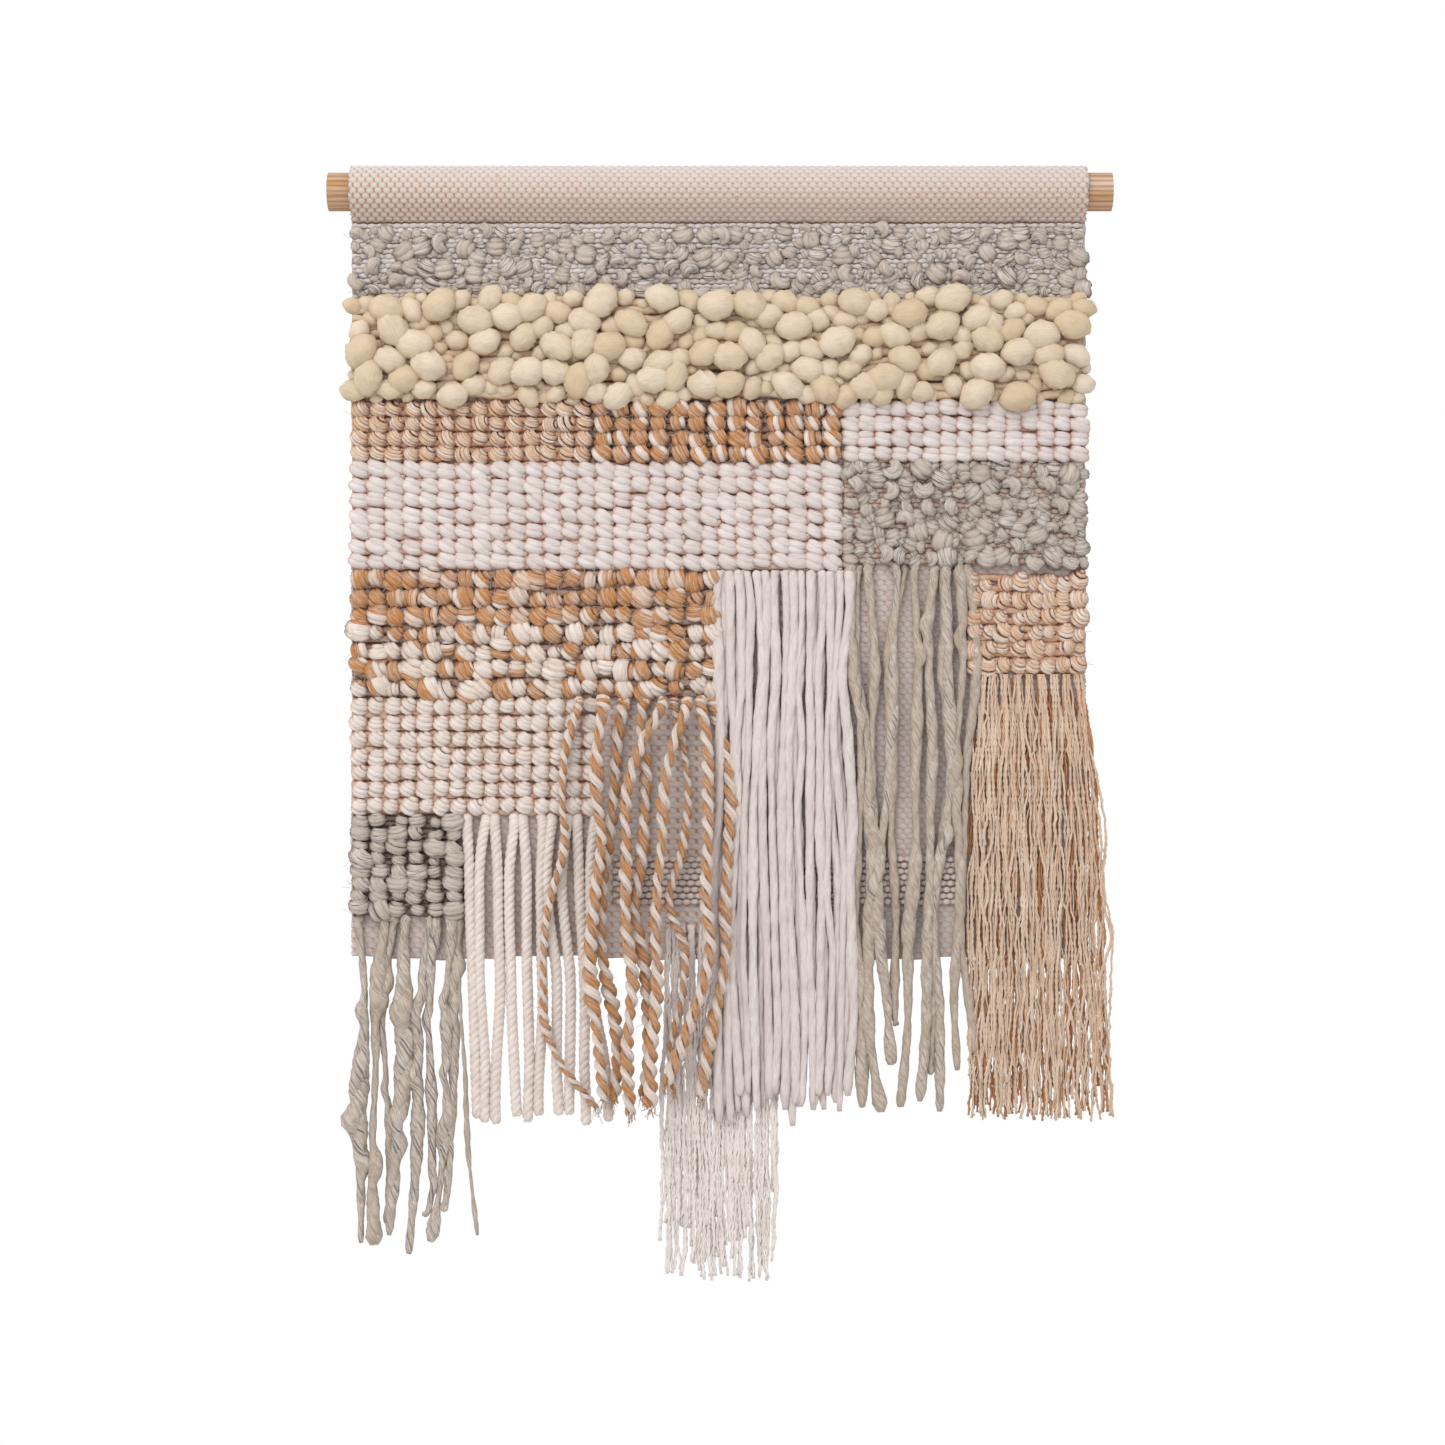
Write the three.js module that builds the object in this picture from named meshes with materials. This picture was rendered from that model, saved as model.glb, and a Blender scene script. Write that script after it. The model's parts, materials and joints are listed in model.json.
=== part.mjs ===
// A woven tapestry wall hanging on a wooden dowel.
//
// The ground cloth hangs from a sleeve round the dowel. Blocks of looped and bubbled pile lie on
// its front, and six fringes of rope, roving and yarn hang from the lower edges of those blocks.
//
// Units are millimetres. +Z is up, +X is to the viewer's right and the front faces -Y.
// The origin is the middle of the dowel's axis.

import * as THREE from "three";

// ---------------------------------------------------------------- driving dimensions

const GAP = 0.3; // kept between neighbouring solids

const DOWEL_RADIUS = 12.5;
const DOWEL_LENGTH = 514;
const DOWEL_CHAMFER = 1.4;

const CLOTH_LEFT = -242;
const CLOTH_RIGHT = 240;
const CLOTH_THICKNESS = 3;
const CLOTH_BOTTOM = -503;

const SLEEVE_PLAY = 0.7; // between the dowel and the cloth round it
const SLEEVE_THICKNESS = 4;
const SEAM_Z = -20; // where the sleeve's two layers meet
const SEAM_HALF_THICKNESS = 2.6;
const SEAM_THREAD_RADIUS = 0.8;

// Lower edges of the bands across the panel, from the top down.
const GREY_BAND_BOTTOM = -70;
const CREAM_BAND_BOTTOM = -138;
const LOOP_ROW_BOTTOM = -178;
const SOUMAK_BOTTOM = -249;
const GREY_BLOCK_BOTTOM = -245;
const RUST_BAND_BOTTOM = -332;
const SMALL_LOOP_TOP = -252;
const SMALL_LOOP_BOTTOM = -317;
const IVORY_BOTTOM = -409;
const RIB_TOP = -436;
const RIB_BOTTOM = -468;
const GREY_FOOT_BOTTOM = -475;

// Upright joins between blocks that lie side by side.
const BEIGE_TO_RUST = -84;
const RUST_TO_WHITE = 80;
const RUST_BAND_RIGHT = 1;
const IVORY_RIGHT = -79;
const GREY_FOOT_RIGHT = -168;
const SMALL_LOOP_LEFT = 161;
const RIB_LEFT = -70;
const RIB_RIGHT = 158;

const FRONT_FACE = -CLOTH_THICKNESS / 2 - GAP; // where everything laid on the cloth starts
const STRAND_DROP = 7; // from a block's lower edge to the top of the strands below it

const ROPE_SIDES = 8;
const STRAND_STEP = 30; // length of one facet along a strand

// ---------------------------------------------------------------- materials

const wood = new THREE.MeshStandardMaterial({ color: 0xc29a74, roughness: 0.55, metalness: 0 });

function yarn(color) {
  return new THREE.MeshStandardMaterial({ color, roughness: 0.95, metalness: 0 });
}

const groundYarn = yarn(0xd3c3b6);
const threadYarn = yarn(0xd8b98c);
const greyWool = yarn(0xa8998c);
const creamWool = yarn(0xd9c3a6);
const beigeYarn = yarn(0xc7a587);
const rustTwist = yarn(0xb98763);
const whiteYarn = yarn(0xded4ce);
const ivoryYarn = yarn(0xdacfc2);
const fineCotton = yarn(0xe6ddd8);

// ---------------------------------------------------------------- shapes

// Turns an extrusion of a (Y, Z) outline so that it runs along +X.
const ALONG_X = new THREE.Matrix4().makeBasis(
  new THREE.Vector3(0, 1, 0),
  new THREE.Vector3(0, 0, 1),
  new THREE.Vector3(1, 0, 0),
);

// Turns an extrusion of an (X, Z) outline so that it runs along -Y.
const TOWARDS_FRONT = new THREE.Matrix4().makeBasis(
  new THREE.Vector3(1, 0, 0),
  new THREE.Vector3(0, 0, 1),
  new THREE.Vector3(0, -1, 0),
);

const tapestry = new THREE.Group();

function addPart(name, geometry, material) {
  const mesh = new THREE.Mesh(geometry, material);
  mesh.name = name;
  tapestry.add(mesh);
  return mesh;
}

// A bar of the given (Y, Z) outline from one X to another.
function barAlongX(shape, left, right) {
  const geometry = new THREE.ExtrudeGeometry(shape, { depth: right - left, bevelEnabled: false });
  geometry.applyMatrix4(ALONG_X);
  geometry.translate(left, 0, 0);
  return geometry;
}

// Points on an arc round (y, z), ends included, with angles in degrees from +Y towards +Z.
function arcPoints(y, z, radius, fromDegrees, toDegrees, steps) {
  const points = [];
  for (let i = 0; i <= steps; i += 1) {
    const angle = THREE.MathUtils.degToRad(fromDegrees + ((toDegrees - fromDegrees) * i) / steps);
    points.push(new THREE.Vector2(y + radius * Math.cos(angle), z + radius * Math.sin(angle)));
  }
  return points;
}

// The angle, in degrees, at which a line from (y, z) touches a circle round the dowel's axis.
function touchAngle(y, z, radius) {
  const distance = Math.hypot(y, z);
  return THREE.MathUtils.radToDeg(Math.atan2(z, y) + Math.acos(radius / distance));
}

// A block of pile: a flat back on the cloth and one rounded ridge for each row of loops.
function pileOutline(top, bottom, rows, thickness) {
  const valley = 0.6 * thickness;
  const stepsPerRow = 4;
  const shape = new THREE.Shape();
  shape.moveTo(FRONT_FACE, bottom);
  shape.lineTo(FRONT_FACE, top);
  for (let i = 0; i <= rows * stepsPerRow; i += 1) {
    const bulge = Math.sin((Math.PI * (i % stepsPerRow)) / stepsPerRow);
    const depth = valley + (thickness - valley) * bulge;
    const z = top + ((bottom - top) * i) / (rows * stepsPerRow);
    shape.lineTo(FRONT_FACE - depth, z);
  }
  return shape;
}

function addPile(name, material, { left, right, top, bottom, rows, thickness }) {
  const outline = pileOutline(top - GAP, bottom + GAP, rows, thickness);
  addPart(name, barAlongX(outline, left + GAP, right - GAP), material);
}

function roundSection(radius) {
  const corners = [];
  for (let i = 0; i < ROPE_SIDES; i += 1) {
    const angle = (2 * Math.PI * i) / ROPE_SIDES;
    corners.push(new THREE.Vector2(radius * Math.cos(angle), radius * Math.sin(angle)));
  }
  return new THREE.Shape(corners);
}

// A hanging strand. xs are its places from left to right at even heights between top and tip;
// it starts at depth topY and hangs at depth hangY.
function addStrand(name, material, { xs, top, tip, topY, hangY, radius }) {
  const points = xs.map((x, i) => {
    const down = i / (xs.length - 1);
    const out = Math.min(1, down * 2.5);
    return new THREE.Vector3(x, topY + (hangY - topY) * out, top + (tip - top) * down);
  });
  const path = new THREE.CatmullRomCurve3(points);
  const geometry = new THREE.ExtrudeGeometry(roundSection(radius), {
    extrudePath: path,
    steps: Math.round((top - tip) / STRAND_STEP),
    bevelEnabled: false,
  });
  addPart(name, geometry, material);
}

// A flat bundle of thin yarns that widens downwards and ends in a few uneven points.
function addTuft(name, material, { topLeft, topRight, footLeft, footRight, top, tip, thickness }) {
  const points = 4;
  const fray = 12;
  const outline = new THREE.Shape();
  outline.moveTo(topRight, top);
  outline.lineTo(topLeft, top);
  for (let i = 0; i <= 2 * points; i += 1) {
    const x = footLeft + ((footRight - footLeft) * i) / (2 * points);
    outline.lineTo(x, i % 2 === 1 ? tip : tip + fray);
  }
  const geometry = new THREE.ExtrudeGeometry(outline, { depth: thickness, bevelEnabled: false });
  geometry.applyMatrix4(TOWARDS_FRONT);
  geometry.translate(0, FRONT_FACE - GAP, 0);
  addPart(name, geometry, material);
}

// ---------------------------------------------------------------- rod, sleeve and cloth

function addDowel() {
  const half = DOWEL_LENGTH / 2;
  const profile = [
    new THREE.Vector2(0, -half),
    new THREE.Vector2(DOWEL_RADIUS - DOWEL_CHAMFER, -half),
    new THREE.Vector2(DOWEL_RADIUS, -half + DOWEL_CHAMFER),
    new THREE.Vector2(DOWEL_RADIUS, half - DOWEL_CHAMFER),
    new THREE.Vector2(DOWEL_RADIUS - DOWEL_CHAMFER, half),
    new THREE.Vector2(0, half),
  ];
  const dowel = addPart("dowel", new THREE.LatheGeometry(profile, 32), wood);
  dowel.rotation.z = -Math.PI / 2;
}

// The cloth goes up over the dowel and comes down again to the seam, a teardrop in section.
function addSleeve() {
  const inner = DOWEL_RADIUS + SLEEVE_PLAY;
  const outer = inner + SLEEVE_THICKNESS;
  const outerTouch = touchAngle(SEAM_HALF_THICKNESS, SEAM_Z, outer);
  const innerMeet = SEAM_Z + GAP * 10;
  const innerTouch = touchAngle(0, innerMeet, inner);
  const shape = new THREE.Shape([
    new THREE.Vector2(SEAM_HALF_THICKNESS, SEAM_Z),
    ...arcPoints(0, 0, outer, outerTouch, 180 - outerTouch, 24),
    new THREE.Vector2(-SEAM_HALF_THICKNESS, SEAM_Z),
  ]);
  shape.holes.push(new THREE.Path([
    new THREE.Vector2(0, innerMeet),
    ...arcPoints(0, 0, inner, innerTouch, 180 - innerTouch, 24),
  ]));
  addPart("header_sleeve", barAlongX(shape, CLOTH_LEFT, CLOTH_RIGHT), groundYarn);

  // The thread that closes the sleeve lies across the middle of the slope behind the seam.
  const slopeTop = arcPoints(0, 0, outer, outerTouch, outerTouch, 1)[0];
  const slopeFoot = new THREE.Vector2(SEAM_HALF_THICKNESS, SEAM_Z);
  const middle = slopeTop.clone().add(slopeFoot).multiplyScalar(0.5);
  const along = slopeTop.clone().sub(slopeFoot).normalize();
  const off = SEAM_THREAD_RADIUS + GAP;
  const thread = new THREE.CylinderGeometry(
    SEAM_THREAD_RADIUS,
    SEAM_THREAD_RADIUS,
    CLOTH_RIGHT - CLOTH_LEFT - 4,
    ROPE_SIDES,
  );
  const mesh = addPart("sleeve_seam_thread", thread, threadYarn);
  mesh.rotation.z = Math.PI / 2;
  const centreX = (CLOTH_LEFT + CLOTH_RIGHT) / 2;
  mesh.position.set(centreX, middle.x + along.y * off, middle.y - along.x * off);
}

// The ground cloth's top edge is a half round on the line that it swings about.
function addGroundCloth() {
  const half = CLOTH_THICKNESS / 2;
  const swingZ = SEAM_Z - GAP - half;
  const shape = new THREE.Shape([
    new THREE.Vector2(half, CLOTH_BOTTOM),
    ...arcPoints(0, swingZ, half, 0, 180, 6),
    new THREE.Vector2(-half, CLOTH_BOTTOM),
  ]);
  addPart("ground_cloth", barAlongX(shape, CLOTH_LEFT, CLOTH_RIGHT), groundYarn);
}

function addRibBand() {
  const outline = pileOutline(RIB_TOP, RIB_BOTTOM, 4, CLOTH_THICKNESS);
  addPart("rib_band", barAlongX(outline, RIB_LEFT, RIB_RIGHT), groundYarn);
}

// ---------------------------------------------------------------- pile blocks

function addPiles() {
  addPile("grey_loop_band", greyWool, {
    left: CLOTH_LEFT, right: CLOTH_RIGHT, top: SEAM_Z - 4, bottom: GREY_BAND_BOTTOM, rows: 6, thickness: 8,
  });
  addPile("cream_bubble_band", creamWool, {
    left: CLOTH_LEFT, right: CLOTH_RIGHT, top: GREY_BAND_BOTTOM, bottom: CREAM_BAND_BOTTOM, rows: 5, thickness: 15,
  });
  addPile("beige_loop_block", beigeYarn, {
    left: CLOTH_LEFT, right: BEIGE_TO_RUST, top: CREAM_BAND_BOTTOM, bottom: LOOP_ROW_BOTTOM, rows: 4, thickness: 10,
  });
  addPile("rust_loop_block", rustTwist, {
    left: BEIGE_TO_RUST, right: RUST_TO_WHITE, top: CREAM_BAND_BOTTOM, bottom: LOOP_ROW_BOTTOM, rows: 4, thickness: 12,
  });
  addPile("white_loop_block", whiteYarn, {
    left: RUST_TO_WHITE, right: CLOTH_RIGHT, top: CREAM_BAND_BOTTOM, bottom: LOOP_ROW_BOTTOM, rows: 4, thickness: 10,
  });
  addPile("white_soumak_band", whiteYarn, {
    left: CLOTH_LEFT, right: RUST_TO_WHITE, top: LOOP_ROW_BOTTOM, bottom: SOUMAK_BOTTOM, rows: 7, thickness: 9,
  });
  addPile("grey_bubble_block", greyWool, {
    left: RUST_TO_WHITE, right: CLOTH_RIGHT, top: LOOP_ROW_BOTTOM, bottom: GREY_BLOCK_BOTTOM, rows: 5, thickness: 13,
  });
  addPile("rust_loop_band", rustTwist, {
    left: CLOTH_LEFT, right: RUST_BAND_RIGHT, top: SOUMAK_BOTTOM, bottom: RUST_BAND_BOTTOM, rows: 7, thickness: 12,
  });
  addPile("small_loop_block", beigeYarn, {
    left: SMALL_LOOP_LEFT, right: CLOTH_RIGHT, top: SMALL_LOOP_TOP, bottom: SMALL_LOOP_BOTTOM, rows: 6, thickness: 8,
  });
  addPile("ivory_loop_block", ivoryYarn, {
    left: CLOTH_LEFT, right: IVORY_RIGHT, top: RUST_BAND_BOTTOM, bottom: IVORY_BOTTOM, rows: 7, thickness: 10,
  });
  addPile("grey_foot_block", greyWool, {
    left: CLOTH_LEFT, right: GREY_FOOT_RIGHT, top: IVORY_BOTTOM, bottom: GREY_FOOT_BOTTOM, rows: 5, thickness: 12,
  });
}

// ---------------------------------------------------------------- fringes

// Two-ply ropes below the rust band. They lie in two layers, because some cross each other, and
// the first two hang in front of the ivory block.
function addRustRopes() {
  const backLayer = -17;
  const frontLayer = -25.2;
  const nearCloth = -8;
  const overBand = -16.5;
  const ropes = [
    { xs: [-92, -103, -102, -112, -114, -110, -82], tip: -600, topY: backLayer, hangY: backLayer },
    { xs: [-76, -81, -77, -82, -85, -80, -75], tip: -594, topY: frontLayer, hangY: frontLayer },
    { xs: [-63, -69, -72, -76, -75, -68, -71], tip: -596, topY: nearCloth, hangY: backLayer },
    { xs: [-38, -60, -63, -61, -58, -60, -58], tip: -603, topY: overBand, hangY: frontLayer },
    { xs: [-49, -47, -51, -55, -48, -48, -50], tip: -592, topY: nearCloth, hangY: backLayer },
    { xs: [-22, -37, -39, -42, -42, -45, -47], tip: -598, topY: overBand, hangY: frontLayer },
    { xs: [-30, -23, -24, -34, -21, -30, -29], tip: -590, topY: nearCloth, hangY: backLayer },
    { xs: [-12, -6, -6, -8, -6, -20, -36], tip: -584, topY: overBand, hangY: frontLayer },
    { xs: [-5, 4, 5, 4, 4, -6, -12], tip: -593, topY: nearCloth, hangY: backLayer },
  ];
  ropes.forEach((rope, i) => {
    addStrand(`rust_rope_${i + 1}`, rustTwist, { top: RUST_BAND_BOTTOM - STRAND_DROP, radius: 3.8, ...rope });
  });
}

// Twisted ropes below the ivory block, side by side and cut off straight.
function addIvoryRopes() {
  const count = 10;
  const firstX = -163.8;
  const pitch = 9;
  const top = IVORY_BOTTOM - STRAND_DROP;
  for (let i = 0; i < count; i += 1) {
    const x = firstX + pitch * i;
    const sway = 0.8 * Math.sin(1.7 * i);
    const xs = [x, x + sway, x + 1 - sway, x + 2.5, x + 4];
    const tip = -606 + 2 * Math.sin(2.3 * i);
    addStrand(`ivory_rope_${i + 1}`, ivoryYarn, { xs, top, tip, topY: -6.5, hangY: -9, radius: 3.5 });
  }
}

// Soft thick roving below the end of the white band.
function addWhiteStrands() {
  const count = 6;
  const firstX = 14.5;
  const pitch = 12.3;
  const top = SOUMAK_BOTTOM - STRAND_DROP;
  for (let i = 0; i < count; i += 1) {
    const x = firstX + pitch * i;
    const sway = 0.9 * Math.sin(2.1 * i);
    const xs = [x, x + sway, x, x - sway, x + 0.5];
    const tip = -600 - 5 * Math.cos(1.9 * i);
    addStrand(`white_strand_${i + 1}`, whiteYarn, { xs, top, tip, topY: -7.2, hangY: -10.3, radius: 4.6 });
  }
}

// Thick-and-thin grey yarn below the bubbles on the right.
function addGreySlubs() {
  const top = GREY_BLOCK_BOTTOM - STRAND_DROP;
  const slubs = [
    { xs: [86, 89, 92, 91, 90, 92, 88], tip: -600 },
    { xs: [98, 99, 100, 100, 98, 99, 101], tip: -603 },
    { xs: [114, 112, 112, 109, 108, 107, 109], tip: -572 },
    { xs: [128, 129, 130, 128, 121, 120, 117], tip: -600 },
    { xs: [140, 141, 141, 137, 134, 135, 132], tip: -596 },
    { xs: [148.5, 148.5, 149, 147, 143, 144, 141], tip: -603 },
    { xs: [156.8, 156.8, 156.8, 156, 153, 153, 156], tip: -576 },
  ];
  slubs.forEach((slub, i) => {
    addStrand(`grey_slub_${i + 1}`, greyWool, { top, topY: -6.5, hangY: -8.6, radius: 3.2, ...slub });
  });
}

// The longest strands, below the grey bubbles at the lower left. The last is a single thin yarn.
function addGreyTails() {
  const top = GREY_FOOT_BOTTOM - STRAND_DROP;
  const tails = [
    { xs: [-237, -235, -237, -234, -234], tip: -689 },
    { xs: [-220, -226, -224, -224, -225], tip: -690 },
    { xs: [-205, -207, -206, -210, -214], tip: -684 },
    { xs: [-191, -198, -198, -200, -203], tip: -696 },
    { xs: [-176, -180, -179, -181, -187], tip: -688 },
    { xs: [-170.4, -169, -168, -166, -160], tip: -684, radius: 1.2 },
  ];
  tails.forEach((tail, i) => {
    addStrand(`grey_tail_${i + 1}`, greyWool, { top, topY: -6.5, hangY: -7.5, radius: 3.2, ...tail });
  });
}

function addTufts() {
  const fine = { top: RIB_BOTTOM - STRAND_DROP, tip: -712, thickness: 3 };
  addTuft("fine_tuft_1", fineCotton, { topLeft: -38, topRight: -1, footLeft: -37, footRight: -3, ...fine });
  addTuft("fine_tuft_2", fineCotton, { topLeft: 0, topRight: 36, footLeft: -1, footRight: 34, ...fine });

  const beige = { top: SMALL_LOOP_BOTTOM - STRAND_DROP, tip: -607, thickness: 5 };
  addTuft("beige_tuft_1", beigeYarn, { topLeft: 168, topRight: 190, footLeft: 163, footRight: 192, ...beige });
  addTuft("beige_tuft_2", beigeYarn, { topLeft: 191, topRight: 214, footLeft: 193, footRight: 223, ...beige });
  addTuft("beige_tuft_3", beigeYarn, { topLeft: 215, topRight: 238, footLeft: 224, footRight: 256, ...beige });
}

addDowel();
addSleeve();
addGroundCloth();
addRibBand();
addPiles();
addRustRopes();
addIvoryRopes();
addWhiteStrands();
addGreySlubs();
addGreyTails();
addTufts();

export default tapestry;
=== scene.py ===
"""A woven tapestry wall hanging: looped and bubbled pile, ropes and fringes on a wooden dowel.

Every length inside the making functions is in millimetres; meshes are scaled to metres once, when
they are built. +Z is up, -Y is the front, and the origin is the middle of the dowel's axis.
"""

import json
import math

import bmesh
import bpy
import numpy as np
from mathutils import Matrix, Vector

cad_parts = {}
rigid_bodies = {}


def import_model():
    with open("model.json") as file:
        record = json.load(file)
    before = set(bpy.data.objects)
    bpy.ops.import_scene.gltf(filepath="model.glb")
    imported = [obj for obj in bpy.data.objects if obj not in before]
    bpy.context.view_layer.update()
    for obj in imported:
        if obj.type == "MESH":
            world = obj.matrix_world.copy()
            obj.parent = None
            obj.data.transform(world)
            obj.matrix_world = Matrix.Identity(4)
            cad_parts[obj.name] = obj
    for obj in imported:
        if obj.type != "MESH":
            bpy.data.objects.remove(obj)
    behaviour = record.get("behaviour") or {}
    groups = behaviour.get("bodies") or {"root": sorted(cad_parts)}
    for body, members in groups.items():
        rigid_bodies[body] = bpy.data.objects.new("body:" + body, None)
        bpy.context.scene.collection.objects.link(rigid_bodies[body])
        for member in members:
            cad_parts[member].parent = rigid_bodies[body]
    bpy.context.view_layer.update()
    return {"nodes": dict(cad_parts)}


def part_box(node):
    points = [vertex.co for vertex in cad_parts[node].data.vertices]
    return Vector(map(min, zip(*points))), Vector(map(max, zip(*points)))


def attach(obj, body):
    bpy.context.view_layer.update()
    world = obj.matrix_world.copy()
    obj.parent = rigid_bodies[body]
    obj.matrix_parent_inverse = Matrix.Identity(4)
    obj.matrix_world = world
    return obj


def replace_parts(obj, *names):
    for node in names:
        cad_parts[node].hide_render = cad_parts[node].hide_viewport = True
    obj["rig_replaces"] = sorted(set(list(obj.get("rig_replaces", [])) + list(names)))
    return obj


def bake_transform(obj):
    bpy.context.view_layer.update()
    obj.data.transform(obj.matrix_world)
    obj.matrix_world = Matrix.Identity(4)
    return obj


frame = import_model()

bl_info = {
    "name": "Tapestry Wall Hanging",
    "version": (1, 0, 0),
    "blender": (4, 5, 0),
    "location": "View3D > Sidebar > Tapestry",
    "description": "Builds a woven wall hanging with pile blocks and yarn fringes round a packed frame",
    "category": "Add Mesh",
}

MM = 0.001
CLOTH_FACE = -1.5  # depth of the ground cloth's front face
CLOTH_INSIDE = 1.3  # how far behind the cloth's front face the pile's roots may reach
# How fast the unevenness of soft yarn changes along x, y and z, in radians to the millimetre.
LUMP_WAVES = [(0.9, 0.5, 0.4), (-0.5, 0.8, 1.1), (0.3, -0.9, 0.7)]


# ------------------------------------------------------------------ small helpers


def node_box(*nodes):
    """Lowest and highest corner, in millimetres, of one or more nodes of the frame."""
    corners = [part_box(node) for node in nodes]
    low = np.min([np.array(c[0]) for c in corners], axis=0) / MM
    high = np.max([np.array(c[1]) for c in corners], axis=0) / MM
    return low, high


def tint(red, green, blue):
    """A screen colour from 0 to 255 as the linear colour that shaders take."""
    parts = [c / 255 for c in (red, green, blue)]
    return tuple(c / 12.92 if c <= 0.04045 else ((c + 0.055) / 1.055) ** 2.4 for c in parts)


def unit(vectors):
    """The vectors at length one."""
    length = np.linalg.norm(vectors, axis=-1, keepdims=True)
    return vectors / np.maximum(length, 1e-9)


def cross_frames(lines):
    """Two directions across each line at each of its points, without twist along it."""
    tangent = unit(np.gradient(lines, axis=1))
    first = np.cross(tangent[:, 0], (0.0, 1.0, 0.0))
    weak = np.linalg.norm(first, axis=-1) < 0.2
    first[weak] = np.cross(tangent[weak, 0], (1.0, 0.0, 0.0))
    side = np.empty_like(lines)
    side[:, 0] = unit(first)
    for i in range(1, lines.shape[1]):
        lean = (side[:, i - 1] * tangent[:, i]).sum(-1, keepdims=True)
        side[:, i] = unit(side[:, i - 1] - lean * tangent[:, i])
    return side, np.cross(tangent, side)


def plied(lines, count, offset, turns, start):
    """Winds count plies round each line and returns their centre lines, ply by ply."""
    side, up = cross_frames(lines)
    n, rings = lines.shape[:2]
    share = np.linspace(0, 1, rings)
    turns = np.broadcast_to(turns, (n,))[:, None, None]
    start = np.broadcast_to(start, (n,))[:, None, None]
    angle = 2 * math.pi * (np.arange(count)[None, :, None] / count + turns * share) + start
    offset = np.broadcast_to(offset, (n, rings))[:, None, :, None]
    wound = lines[:, None] + offset * (
        np.cos(angle)[..., None] * side[:, None] + np.sin(angle)[..., None] * up[:, None]
    )
    return wound.reshape(n * count, rings, 3)


def smooth_route(points, count):
    """A smooth line of count points through the given ones."""
    points = np.asarray(points, float)
    ends = [2 * points[0] - points[1], *points, 2 * points[-1] - points[-2]]
    ends = np.array(ends)
    at = np.linspace(0, len(points) - 1, count)
    i = np.minimum(at.astype(int), len(points) - 2)
    t = (at - i)[:, None]
    a, b, c, d = ends[i], ends[i + 1], ends[i + 2], ends[i + 3]
    return 0.5 * (2 * b + (c - a) * t + (2 * a - 5 * b + 4 * c - d) * t**2 + (3 * b - a - 3 * c + d) * t**3)


def strand_route(node, sides=8):
    """The centre line, from the top down, of a round strand of the frame."""
    mesh = frame["nodes"][node].data
    corners = np.unique(np.round([np.array(v.co) / MM for v in mesh.vertices], 3), axis=0)
    corners = corners[np.argsort(-corners[:, 2])]
    return corners.reshape(-1, sides, 3).mean(axis=1)


def rows_and_columns(low, high, rows, columns, rng, jitter=0.08):
    """Places of loops in rows across a block, from its box, each a little out of line."""
    pitch_x = (high[0] - low[0]) / columns
    pitch_z = (high[2] - low[2]) / rows
    i, j = np.meshgrid(np.arange(columns), np.arange(rows))
    x = low[0] + pitch_x * (i.ravel() + 0.5) + rng.normal(0, jitter * pitch_x, i.size)
    z = high[2] - pitch_z * (j.ravel() + 0.5) + rng.normal(0, jitter * pitch_z, i.size)
    return x, z, j.ravel(), pitch_x, pitch_z


def packed(low, high, sizes, rng, touch=0.9, inset=0.5):
    """Places for bubbles, the largest first and the rest wherever they still fit.

    sizes is a list of smallest radius, largest radius and number of tries.
    """
    found = np.zeros((0, 3))
    for smallest, largest, tries in sizes:
        for _ in range(tries):
            r = rng.uniform(smallest, largest)
            x = rng.uniform(low[0] + inset * r, high[0] - inset * r)
            z = rng.uniform(low[2] + inset * r, high[2] - inset * r)
            far = np.hypot(found[:, 0] - x, found[:, 1] - z)
            if (far > touch * (found[:, 2] + r)).all():
                found = np.vstack([found, (x, z, r)])
    return found.T


def wander(rng, s, wave):
    """A smooth random curve over the lengths s, with turns about wave apart and size about one."""
    knots = np.arange(0, s[-1] + 2 * wave, wave)
    heights = rng.normal(0, 1, len(knots))
    i = np.minimum((s / wave).astype(int), len(knots) - 2)
    share = s / wave - i
    ease = share * share * (3 - 2 * share)
    return heights[i] * (1 - ease) + heights[i + 1] * ease


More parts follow.
